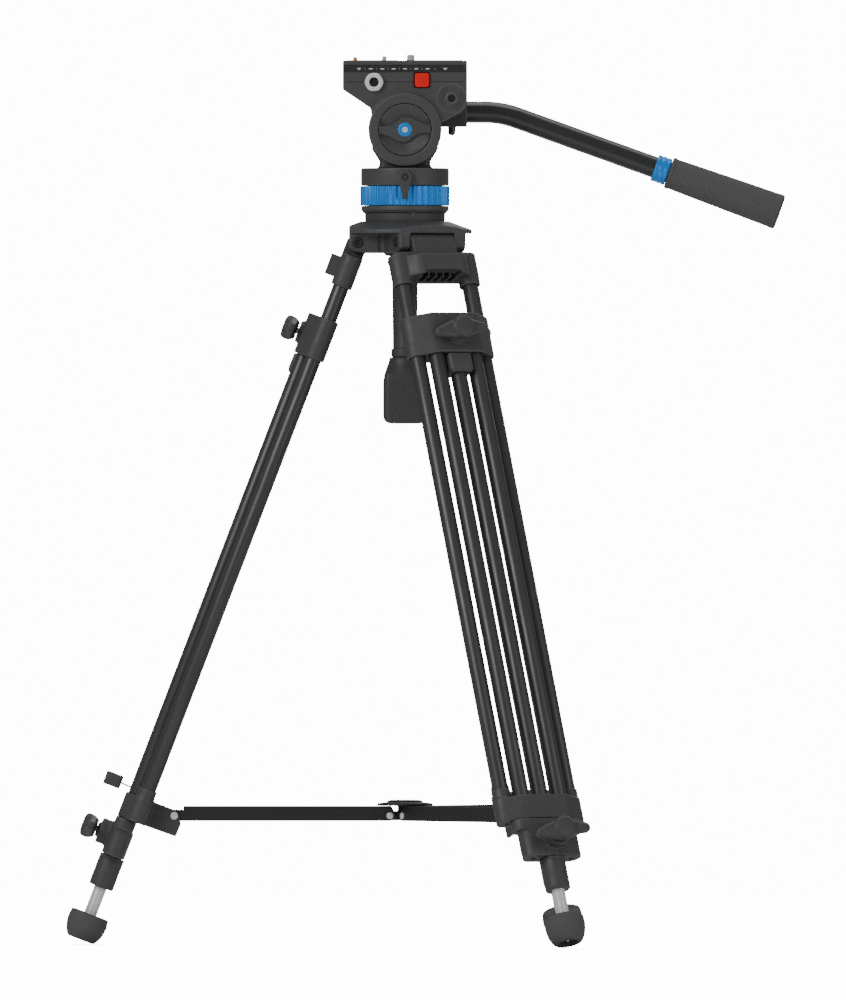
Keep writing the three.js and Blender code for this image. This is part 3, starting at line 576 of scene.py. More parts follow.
ALONG, AROUND = (1.0, 0.02, 1.0), (0.02, 1.0, 1.0)
PLAIN_FINISHES = {
    # thin satin paint on pressed metal, with faint scuffs
    "pressed": ("satin black paint", "pressed", 0.42, 0.3, "Object",
                (1.4, 5.0, None, 0.22), (5.0, 6.0, (1.0, 1.0, 4.0), 0.34, 0.52), (0.4, 3.0, None, 0.02)),
    # black anodised tube with drawing lines along it
    "tube": ("black drawn tube", "tube", 0.36, 0.5, "UV",
             (1.2, 4.0, ALONG, 0.18), (6.0, 3.0, (1.0, 0.15, 1.0), 0.31, 0.42), (1.2, 4.0, ALONG, 0.006)),
    # blue anodised aluminium with turning marks round it
    "blue": ("blue anodised ring", "blue", 0.3, 0.35, "UV",
             (0.8, 4.0, AROUND, 0.08), (2.0, 4.0, None, 0.26, 0.36), (0.8, 4.0, AROUND, 0.008)),
    # bright steel with fine turning marks and a few dull patches
    "steel": ("bright steel", "steel", 0.3, 0.3, "UV", (0.5, 4.0, (0.05, 1.0, 1.0), 0.06),
              (2.5, 5.0, None, 0.24, 0.36), (0.5, 4.0, (0.05, 1.0, 1.0), 0.008)),
    "brass": ("orange brass", "brass", 0.3, 0.9, "Object",
              (0.8, 4.0, None, 0.18), (1.5, 4.0, None, 0.24, 0.4), (0.4, 3.0, None, 0.01)),
    # red moulded plastic, slightly paler where it is rubbed
    "red": ("red plastic", "red", 0.38, 0.0, "Object",
            (1.5, 4.0, None, 0.08), (2.0, 3.0, None, 0.3, 0.46), (0.5, 3.0, None, 0.02)),
    # near-black: painted shade on the floors of recesses, and gaskets, with a dusty grain
    "dark": ("near-black recess", "recess", 0.7, 0.0, "Object",
             (0.8, 4.0, None, 0.35), (2.0, 3.0, None, 0.6, 0.8), (0.4, 3.0, None, 0.03)),
    # printed marks in slightly broken ink
    "mark": ("pale scale ink", "mark", 0.6, 0.0, "Object",
             (0.5, 5.0, None, 0.25), (0.7, 3.0, None, 0.5, 0.7), (0.5, 5.0, None, 0.0)),
}
FINISHES = {
    "casting": casting_finish, "bar": bar_finish, "plastic": plastic_finish, "rubber": rubber_finish,
    "grip": grip_finish, "floor": floor_finish,
}
_made_finishes = {}


def look(name):
    """The named finish, made once in the scene's colours."""
    if name not in _made_finishes:
        colours = bpy.context.scene.tripod_colours
        _made_finishes[name] = (plain_finish(colours, *PLAIN_FINISHES[name]).material
                                if name in PLAIN_FINISHES else FINISHES[name](colours))
    return _made_finishes[name]


# ---------------------------------------------------------------- properties
def colour_property(name, description, default):
    return bpy.props.FloatVectorProperty(
        name=name, description=description, subtype="COLOR", size=3, min=0.0, max=1.0, default=default)


def size_property(name, description, default, least):
    return bpy.props.FloatProperty(name=name, description=description, default=default, min=least)


class TripodColours(bpy.types.PropertyGroup):
    """Colours of the finishes"""

    casting: colour_property("Casting", "Charcoal coat of the castings", (0.078, 0.078, 0.08))
    pressed: colour_property("Pressed metal", "Paint of the arms, pins and plate", (0.035, 0.035, 0.036))
    tube: colour_property("Tube", "Black of the leg tubes", (0.085, 0.085, 0.088))
    bar: colour_property("Pan bar", "Glossy coat of the pan bar", (0.045, 0.045, 0.047))
    plastic: colour_property("Plastic", "Moulded knobs and lever", (0.068, 0.068, 0.07))
    rubber: colour_property("Rubber", "Feet and grip", (0.1, 0.1, 0.102))
    blue: colour_property("Blue", "Anodised rings and the dial's cap", (0.035, 0.33, 1.0))
    steel: colour_property("Steel", "Screws, rods and the clamp ring", (0.97, 0.97, 0.98))
    brass: colour_property("Brass", "Locating pin", (0.8, 0.3, 0.05))
    red: colour_property("Red", "Release button", (1.0, 0.0, 0.0))
    # painted shade: the near-black of the hollows stands in for their shade; the gaskets are dark in their
    # own right
    recess: colour_property("Recess", "Dark hollows and gaskets", (0.008, 0.008, 0.008))
    mark: colour_property("Marks", "Printed scale", (0.75, 0.75, 0.74))
    floor: colour_property("Floor", "Studio floor", (0.9, 0.9, 0.9))


class TripodSizes(bpy.types.PropertyGroup):
    """Sizes and counts of the details, in millimetres"""

    casting_grid: size_property("Casting grid", "Grid cell that castings are rebuilt on, in mm", 0.95, 0.5)
    ring_ribs: bpy.props.IntProperty(
        name="Drag ring ribs", description="Grip teeth round the pan drag ring", default=42, min=12)
    thread_pitch: size_property("Foot thread pitch", "Thread pitch of the foot rods, in mm", 1.9, 0.5)
    screw_pitch: size_property("Camera screw pitch", "Thread pitch of the camera screw, in mm", 1.3, 0.5)
    tube_sides: bpy.props.IntProperty(
        name="Tube sides", description="Faces round a leg tube", default=44, min=16)
    rosette_teeth: bpy.props.IntProperty(
        name="Rosette teeth", description="Radial teeth of the pan bar's rosette", default=60, min=8)
    tube_radius: size_property("Tube radius", "Outer radius of the leg tubes, in mm", 7.75, 2)
    bar_radius: size_property("Pan bar radius", "Outer radius of the pan bar, in mm", 10.5, 2)
    sensor_height: size_property("Sensor height", "Height of the camera's sensor, in mm", 36.0, 1)
    lens: size_property("Lens", "Focal length of the camera, in mm", 1200.0, 10)
    field_height: size_property("Field height", "Height in view at the tripod, in mm", 970.0, 10)


# ---------------------------------------------------------------- leg pieces
MIDDLE_N = 9.0
OUTER_T, INNER_T = 37.2, 20.9
TUBE_WALL = 1.4
PIN_HALF = 37.5
UPPER_TUBE = (27.0, 598.9)
MIDDLE_TUBE = (88.0, 635.7)
GUIDE = (121.6, 139.0)
FERRULE = (641.0, 673.0)
FOOT = (700.8, 727.5)
PIVOT_N, PIVOT_A = -32.8, 582.7
RIVET_T = 16.5
ARM_HALF_WIDTH = 11.5
KNOB_STATIONS = (("upper", 24.7, 100.6, "slider_knob"), ("lower", 33.4, 621.2, "clamp_knob"))


def tube_rings(radius, start, end, sides):
    """A hollow tube's closed section carried round: outer wall, rims with a small chamfer, inner wall."""
    inner = radius - TUBE_WALL
    section = softened([(radius, -end), (radius, -start), (inner, -start), (inner, -end)], 0.4, 2,
                       closed=True)
    return turned(section, sides)


class TRIPOD_OT_leg_tubes(bpy.types.Operator):
    """Makes the upper and middle tubes of the three legs"""

    bl_idname = "tripod.leg_tubes"
    bl_label = "Leg tubes"

    def execute(self, context):
        sizes = context.scene.tripod_sizes
        upper = tube_rings(sizes.tube_radius, *UPPER_TUBE, sizes.tube_sides)
        middle = tube_rings(sizes.tube_radius, *MIDDLE_TUBE, sizes.tube_sides)
        for leg in LEGS:
            for letter, side in SIDES:
                node = f"leg_{leg}_upper_tube_{letter}"
                Shell().skin(upper, on_leg(leg, 0, side * OUTER_T), closed=True).piece(
                    f"{node}_drawn", "tube", f"leg_{leg}", [node])
                node = f"leg_{leg}_middle_tube_{letter}"
                Shell().skin(middle, on_leg(leg, MIDDLE_N, side * INNER_T), closed=True).piece(
                    f"{node}_drawn", "tube", f"leg_{leg}_middle", [node])
        return {"FINISHED"}


class TRIPOD_OT_lower_tubes(bpy.types.Operator):
    """Makes each leg's guide block, lower tube, ferrule and threaded rod"""

    bl_idname = "tripod.lower_tubes"
    bl_label = "Lower tubes"

    def execute(self, context):
        sizes = context.scene.tripod_sizes
        for leg in LEGS:
            body = f"leg_{leg}_lower"
            at = on_leg(leg, MIDDLE_N)
            tube = tube_rings(sizes.tube_radius, GUIDE[1] - 2, FERRULE[0] + 4, sizes.tube_sides)
            Shell().skin(tube, at, closed=True).piece(
                f"leg_{leg}_lower_tube_drawn", "tube", body, [f"leg_{leg}_lower_tube"])
            block = prism(rectangle(19, 25.6, 4), soft_ends(-GUIDE[1], -GUIDE[0], 1.4))
            lip = prism(rectangle(17.5, 23, 3.5), soft_ends(-GUIDE[1] - 1.6, -GUIDE[1] + 1, 0.6))
            Shell().skin(block, on_leg(leg, MIDDLE_N + 1)).skin(lip, on_leg(leg, MIDDLE_N + 1)).piece(
                f"leg_{leg}_guide_block", "plastic", body)
            self.ferrule(leg, at, body)
            self.rod(leg, at, body, sizes.thread_pitch)
        return {"FINISHED"}

    def ferrule(self, leg, at, body):
        """A plain turned ferrule with a fine groove under its top and a chamfer at each end."""
        top, bottom = FERRULE
        rings = lathe([
            (8.2, -top), (11.8, -top), (12.2, -top - 0.6), (12.2, -top - 2.6), (11.8, -top - 2.8),
            (11.8, -top - 3.4), (12.2, -top - 3.6), (12.2, -bottom + 1.0), (11.4, -bottom),
            (7.0, -bottom),
        ], 0.3, 3, 96)
        Shell().skin(rings, at).piece(f"leg_{leg}_ferrule", "casting", body)

    def rod(self, leg, at, body, pitch):
        """A threaded rod that ends in a spike."""
        thread = threaded(6.2, -FOOT[1] + 14, -FERRULE[1] + 3, pitch)
        spike = lathe([(5.6, -FOOT[1] + 14.5), (5.6, -FOOT[1] + 10), (0.6, -FOOT[1] + 1.8)], 1, 3, 36)
        Shell().skin(thread, at).skin(spike, at).piece(f"leg_{leg}_threaded_rod", "steel", body)


class TRIPOD_OT_feet(bpy.types.Operator):
    """Makes the rubber feet that screw up their rods"""

    bl_idname = "tripod.feet"
    bl_label = "Feet"

    def execute(self, context):
        top, bottom = FOOT
        rings = lathe([
            (7.0, -top - 3), (7.0, -top), (17.8, -top), (19.0, -top - 1.2), (19.7, -top - 8),
            (19.3, -top - 13), (18.0, -top - 18.5), (16.0, -top - 23), (13.4, -bottom), (8.6, -bottom),
            (8.2, -bottom + 4),
        ], 1.8, 5, 120)
        for leg in LEGS:
            Shell().skin(rings, on_leg(leg, MIDDLE_N)).piece(
                f"leg_{leg}_foot_moulded", "rubber", f"leg_{leg}_foot", [f"leg_{leg}_foot"])
        return {"FINISHED"}


class TRIPOD_OT_wing_knobs(bpy.types.Operator):
    """Makes the wing knobs that clamp the sliders and the lower tubes"""

    bl_idname = "tripod.wing_knobs"
    bl_label = "Wing knobs"

    def execute(self, context):
        long_wing = prism(wrapped([(0, 0, 11.2), (-26, -4.5, 5.2)]), soft_ends(1.6, 10.6, 3.6, 6))
        short_wing = prism(wrapped([(0, 0, 11.2), (22.5, 1.0, 4.2)]), soft_ends(1.6, 10.6, 3.6, 6))
        boss = lathe([
            (8.4, 0), (9.6, 1.6), (11.6, 5), (11.9, 10.4), (10.9, 13.2), (7, 14.4), (1, 14.6),
        ], 2.4, 5, 72)
        stud = turned([(3.0, -11), (3.0, 2)], 24)
        for leg in LEGS:
            for level, n, a, moving in KNOB_STATIONS:
                at = on_leg(leg, n, 0, a, "x")
                body = f"leg_{leg}_{moving}"
                wing = Shell().skin(long_wing, at).skin(short_wing, at).skin(boss, at)
                cast_piece(wing, f"leg_{leg}_{level}_wing", "plastic", body, [f"leg_{leg}_{level}_knob"],
                           0.6, 5)
                Shell().skin(stud, at).piece(f"leg_{leg}_{level}_stud", "steel", body)
        return {"FINISHED"}


class TRIPOD_OT_leg_castings(bpy.types.Operator):
    """Finishes the yokes, sliders, brackets and end caps, and adds their screws"""

    bl_idname = "tripod.leg_castings"
    bl_label = "Leg castings"

    def execute(self, context):
        sizes = context.scene.tripod_sizes
        brow = prism(softened([
            (-18.4, -35.6), (-12, -34.6), (12, -34.6), (18.4, -35.6), (18.2, -30), (9, -27), (-9, -27),
            (-18.2, -30),
        ], 0.6, 3, closed=True), [(0, 7.5), (0, 19.6)])
        for leg in LEGS:
            yoke = Shell().node(f"leg_{leg}_yoke").skin(brow, on_leg(leg, axis="x"))
            cast_piece(yoke, f"leg_{leg}_yoke_cast", "casting", f"leg_{leg}", [f"leg_{leg}_yoke"], 0.7, 5)
            for what in ("slider", "bracket", "end_cap"):
                cast_node(f"leg_{leg}_{what}", "casting", sizes.casting_grid, 7)
            for side, letter in ((-1, "a"), (1, "b")):
                outer = on_leg(leg, 0, side * OUTER_T, 601.9, "-z")
                inner = on_leg(leg, MIDDLE_N, side * INNER_T, 640.7, "-z")
                self.screw(f"leg_{leg}_bracket_screw_{letter}", outer, f"leg_{leg}")
                self.screw(f"leg_{leg}_end_screw_{letter}", inner, f"leg_{leg}_middle")
            self.pivot_rivets(leg)
        return {"FINISHED"}

    def screw(self, name, at, body):
        """A small cap screw's head with a hollow, facing down the leg."""
        head = lathe([(2.4, -1), (2.4, 0.3), (2.0, 0.7), (1.3, 0.7), (1.2, -0.2)], 0.2, 3, 32)
        Shell().skin(head, at).piece(name, "pressed", body)

    def pivot_rivets(self, leg):
        """Bright domed rivet heads on the bracket's two cheeks, at the spreader arm's pivot."""
        head = lathe([(3.8, -0.8), (3.8, 0.5), (2.9, 1.2), (0.5, 1.5)], 0.5, 4, 40)
        heads = Shell()
        for side, axis in ((-1, "front"), (1, "y")):
            heads.skin(head, on_leg(leg, PIVOT_N, side * RIVET_T, PIVOT_A, axis))
        heads.piece(f"leg_{leg}_pivot_rivets", "steel", f"leg_{leg}")


class TRIPOD_OT_hinge_pins(bpy.types.Operator):
    """Makes the turned hinge pins with their recessed heads"""

    bl_idname = "tripod.hinge_pins"
    bl_label = "Hinge pins"

    def execute(self, context):
        rings = lathe([
            (1.6, -PIN_HALF + 1.2), (2.4, -PIN_HALF), (4.6, -PIN_HALF), (5.2, -PIN_HALF + 0.6),
            (5.2, -PIN_HALF + 0.9), (4.0, -PIN_HALF + 0.9), (4.0, PIN_HALF - 1), (5.2, PIN_HALF - 1),
            (5.2, PIN_HALF + 0.2), (4.6, PIN_HALF + 0.7), (2.6, PIN_HALF + 0.7), (2.2, PIN_HALF - 1.4),
        ], 0.3, 3, 48)
        for leg in LEGS:
            Shell().skin(rings, on_leg(leg, axis="y")).piece(
                f"hinge_pin_{leg}_turned", "pressed", "crown", [f"hinge_pin_{leg}"])
        return {"FINISHED"}


class TRIPOD_OT_leg_catch(bpy.types.Operator):
    """Makes the rubber catch on its rod, on the first leg"""

    bl_idname = "tripod.leg_catch"
    bl_label = "Leg catch"

    def execute(self, context):
        block = prism(rectangle(17, 10, 2.5), soft_ends(-6.5, 6.5, 1.4))
        rod = swept([(11, 0, -571.9), (20, 0, -571.8), (30, 0, -571.4)], 0.9, 16)
        clip = prism(rectangle(5, 4, 1), soft_ends(-578.0, -569.6, 0.8))
        between = -10.5
        Shell().skin(block, on_leg(1, 35, between, 571.3)).piece("leg_1_catch_block", "rubber", "leg_1")
        Shell().skin(rod, on_leg(1, 0, between)).piece("leg_1_catch_rod", "steel", "leg_1")
        Shell().skin(clip, on_leg(1, 11.5, between)).piece("leg_1_catch_clip", "plastic", "leg_1")
        return {"FINISHED"}


# ---------------------------------------------------------------- spreader pieces
class TRIPOD_OT_spreader(bpy.types.Operator):
    """Finishes the spreader's hub and arms and adds their rivets"""

    bl_idname = "tripod.spreader"
    bl_label = "Spreader"

    def execute(self, context):
        cast_node("spreader_hub", "pressed", 0.6, 3)
        top = high("spreader_hub")[2]
        cap = lathe([
            (15.2, -0.6), (15.2, 0.5), (13.6, 1.0), (6.4, 1.0), (5.8, 0.2), (1.2, 0.2),
        ], 0.4, 3, 64)
        Shell().skin(cap, on_head(0, 0, top - 0.6)).piece("spreader_hub_cap", "pressed", "hub")
        head = lathe([(3.4, 0), (3.4, 0.7), (2.4, 1.3), (0.5, 1.5)], 0.4, 3, 32)
        for leg in LEGS:
            pressed_node(f"spreader_arm_{leg}", "pressed", 0.5)
            pins = Shell()
            for side, axis in ((-1, "front"), (1, "y")):
                pins.skin(head, spreader_frame(leg) @ placed(AXES[axis], (0, side * ARM_HALF_WIDTH, 0)))
            pins.piece(f"spreader_arm_{leg}_rivets", "steel", f"arm_{leg}")
        return {"FINISHED"}


# ---------------------------------------------------------------- crown and levelling ball
class TRIPOD_OT_crown(bpy.types.Operator):
    """Finishes the crown and adds its rim"""

    bl_idname = "tripod.crown"
    bl_label = "Crown"

    def execute(self, context):
        cast_node("crown", "casting", context.scene.tripod_sizes.casting_grid, 6)
        top = high("crown")[2]
        rim = lathe([
            (43.9, top - 3.2), (44.2, top - 1.0), (43.6, top + 0.1), (41.4, top + 0.1), (40.4, top - 2.0),
            (41.5, top - 3.4),
        ], 0.5, 3, 120, closed=True)
        Shell().skin(rim, on_head(0, 0, 0), closed=True).piece("crown_rim", "casting", "crown")
        return {"FINISHED"}


class TRIPOD_OT_levelling_ball(bpy.types.Operator):
    """Makes the levelling ball with its flange and stem, its washer and the tie-down grip"""

    bl_idname = "tripod.levelling_ball"
    bl_label = "Levelling ball"

    def execute(self, context):
        stem, radius = 11.7, 39.0
        angles = np.linspace(-0.15, -0.9, 12)
        ball = np.column_stack([radius * np.cos(angles), BALL_Z + radius * np.sin(angles)])
        bottom = low("half_ball")[2]
        flange = RING_LOW - 0.3
        upper = [
            (28.0, RING_HIGH - 0.6), (29.2, RING_HIGH - 1.2), (29.2, flange), (42.5, flange),
            (42.5, flange - 4.6), (41.2, flange - 5.0), (41.2, flange - 5.6), (40.9, flange - 6.2),
            (39.0, BALL_Z + 3.0),
        ]
        under = [
            (18.6, ball[-1, 1] - 7.2), (stem + 1, ball[-1, 1] - 8), (stem, bottom + 8.4),
            (stem + 1.6, bottom + 7.6), (stem + 1.6, bottom + 0.8), (stem + 0.8, bottom),
        ]
        profile = np.vstack([softened(upper, 0.5, 3), ball, softened(under, 0.8, 3)])
        Shell().skin(turned(profile, 120), on_head(0, 0, 0)).piece(
            "levelling_ball", "casting", "head_base", ["half_ball"])
        self.washer()
        self.grip()
        return {"FINISHED"}

    def washer(self):
        foot, top = low("clamp_washer")[2], high("clamp_washer")[2]
        section = softened([(12.8, foot), (14, foot), (17.4, top - 0.8), (17, top), (12.8, top)], 0.6, 3,
                           closed=True)
        Shell().skin(turned(section, 80), on_head(0, 0, 0), closed=True).piece(
            "levelling_washer", "pressed", "level_ring", ["clamp_washer"])

    def grip(self):
        """A grip whose section is a square with cut corners: r / max(|cos u|, |sin u|), and no more than
        1.82 r / (|cos u| + |sin u|), easing into a circle at both ends."""
        foot, top = low("tie_down_grip")[2], high("tie_down_grip")[2]
        profile = softened([
            (12, top), (15.2, top), (15.6, top - 4), (17.6, top - 9), (20.4, top - 18), (21.2, top - 26),
            (21.2, foot + 7), (19.4, foot + 1.6), (14, foot), (6, foot), (5, foot + 1.2),
        ], 3.0, 5)

        def squared(u, h):
            across, both = np.maximum(abs(np.cos(u)), abs(np.sin(u))), abs(np.cos(u)) + abs(np.sin(u))
            share = eased((top - 4 - h) / 14) * eased((h - foot + 3) / 6)
            return 1 + share * (np.minimum(1 / across, 1.82 / both) - 1)

        collar = turned([(11.9, top - 1), (11.9, top + 1)], 64)
        at = on_head(0, 0, 0)
        Shell().skin(turned(profile, 144, squared), at).skin(collar, at).piece(
            "tie_down_grip_moulded", "plastic", "tie_down", ["tie_down_grip"])


# ---------------------------------------------------------------- pan pieces
class TRIPOD_OT_pan_base(bpy.types.Operator):
    """Makes the ribbed drag ring, the pan base with its neck, and the lock lever"""

    bl_idname = "tripod.pan_base"
    bl_label = "Pan base"

    def execute(self, context):
        self.drag_ring(context.scene.tripod_sizes.ring_ribs)
        self.base(context.scene.tripod_sizes.casting_grid)
        self.lever()
        return {"FINISHED"}

    def drag_ring(self, ribs):
        """A ring of rounded teeth: r (0.955 + 0.0225 (1 + cos(ribs u)))."""
        lo_, hi_ = RING_LOW, RING_HIGH
        section = softened([
            (31, lo_ + 0.1), (42.8, lo_ + 0.1), (43.3, lo_ + 0.7), (43.3, hi_ - 0.7), (42.8, hi_ - 0.1),
            (31, hi_ - 0.1),
        ], 0.4, 3, closed=True)

        def toothed(u, h):
            return 0.955 + 0.0225 * (1 + np.cos(ribs * u))

        Shell().skin(turned(section, ribs * 16, toothed), on_head(0, 0, 0), closed=True).piece(
            "pan_drag_ring_toothed", "blue", "drag_ring", ["pan_drag_ring"], crease=50)

    def base(self, grid):
        """A turned base, a neck and the drum between the cheeks, fused. The neck's half width falls by 3.2
        to 24.6 along a fillet, then widens by 0.63 per unit of height just under the drum, up to 32."""
        foot = low("pan_base")[2]
        top = foot + 17.1
        disc = lathe([
            (30, foot), (42.4, foot), (42.7, foot + 1), (42.7, top - 0.6), (42.1, top), (20, top),
        ], 0.3, 3, 128)
        rise = np.linspace(0, 1, 40)
        heights = top - 1 + rise * (TILT_Z - top + 1)
        half = 24.6 + 3.2 * np.clip(1 - rise * 7, 0, 1) ** 2.2
        half = np.maximum(half, np.minimum(25.6 + (heights - TILT_Z + 28.8) * 0.63, 32))
        unit = rectangle(2.0, 2.0, 0.28, 6)
        neck = np.stack([np.column_stack([unit[:, 0] * w, unit[:, 1] * 19.6, np.full(len(unit), z)])
                         for w, z in zip(half, heights)])
        drum = lathe([
            (8, -19.6), (32.2, -19.6), (33, -18.6), (33, 18.6), (32.2, 19.6), (8, 19.6),
        ], 0.6, 3, 96)
        at = on_head(0, 0, 0)
        shell = Shell().skin(disc, at).skin(neck, at).skin(drum, on_head(0, 0, TILT_Z, "y"))
        cast_piece(shell, "pan_base_cast", "casting", "pan", ["pan_base"], grid, 4)

    def lever(self):
        """A tapering blade round its boss and its narrow tip, with a dark cap screw in the boss."""
        boss = joint_place("pan_lever_turn")
        front = -low("pan_lock_lever")[1]
        at = placed(AXES["front"], (boss[0], 0, boss[2]))
        blade = prism(wrapped([(0, 0, 6.9), (0, -19, 2.5)]), soft_ends(front - 4.4, front - 0.2, 1.0, 5))
        collar = lathe([(5.0, 42.6), (5.0, front - 3)], 0.3, 2, 40)
        ring = lathe([
            (4.6, front - 1), (4.6, front + 0.3), (3.7, front + 0.3), (3.7, front - 1),
        ], 0.2, 3, 48, closed=True)
        screw = lathe([
            (3.4, front - 1.2), (3.4, front), (3.0, front + 0.4), (1.7, front + 0.4), (1.5, front - 0.8),
        ], 0.3, 3, 40)
        Shell().skin(blade, at).skin(collar, at).skin(ring, at, closed=True).piece(
            "pan_lock_lever_moulded", "plastic", "pan_lever", ["pan_lock_lever"])
        Shell().skin(screw, at).piece("pan_lock_lever_screw", "pressed", "pan_lever")


# ---------------------------------------------------------------- tilt pieces
class TRIPOD_OT_tilt_body(bpy.types.Operator):
    """Finishes the tilting body and adds its seam, rail bands and scale marks"""

    bl_idname = "tripod.tilt_body"
    bl_label = "Tilt body"

    def execute(self, context):
        sizes = context.scene.tripod_sizes
        cast_node("tilt_body", "casting", sizes.casting_grid, 4)
        seam_z = BODY_TOP - 9.0
        seam = prism(rectangle(HEAD_WIDTH + 0.1, -2 * RAIL_FACE + 0.1, 3.2),
                     soft_ends(seam_z - 0.3, seam_z + 0.3, 0.1, 2))
        Shell().skin(seam, on_head(0, 0, 0)).piece("tilt_body_seam", "dark", "tilt")
        self.rail_bands()
        self.marks()
        self.far_cap()
        return {"FINISHED"}

    def rail_bands(self):
        """A dark strip along each rail's face, its two ends slanted."""
        half, height = HEAD_WIDTH / 2 - 0.3, 6.2
        face = [(-half, 0), (half, 0), (half - 2.4, height), (-half + 0.6, height)]
        strip = prism(softened(face, 0.5, 3, closed=True), [(0.1, -0.2), (0, 0.05), (0.1, 0.15)])
        bands = Shell()
        for axis, y in (("front", RAIL_FACE), ("y", -RAIL_FACE)):
            bands.skin(strip, on_head(0, y, BODY_TOP + 0.2, axis))
        bands.piece("rail_bands", "pressed", "tilt")

    def marks(self):
        """A dash at each main division of the near rail's scale, dots between, a triangle past each end."""
        line_z = BODY_TOP + 3.6
        marks = Shell()
        dash, dot = rectangle(3.8, 1.1, 0.4, 3), wrapped([(0, 0, 0.35)], 16)
        triangle = softened([(-2.2, 0.8), (0, -1.4), (2.2, 0.8)], 0.3, 2, closed=True)
        dashes, triangles = (-33, -22, -11, 0, 11, 22), (-44.5, 39)
        for outline, places in ((dash, dashes), (dot, (-38.5, -27.5, -16.5, -5.5, 5.5, 16.5, 29)),
                                (triangle, triangles)):
            for x in places:
                marks.skin(prism(outline, [(0, 0), (0, 0.1)]),
                           on_head(x, RAIL_FACE - 0.16, line_z, "front"))
        marks.piece("rail_scale_marks", "mark", "tilt")

    def far_cap(self):
        """A turned cap that closes the tilt axle's far side."""
        front = -RAIL_FACE
        cap = lathe([
            (26, front), (26, front + 2.2), (24.6, front + 3.4), (10, front + 4.0), (9, front + 3.2),
            (1, front + 3.2),
        ], 0.8, 4, 96)
        Shell().skin(cap, on_head(0, 0, TILT_Z, "y")).piece("tilt_far_cap", "plastic", "tilt")


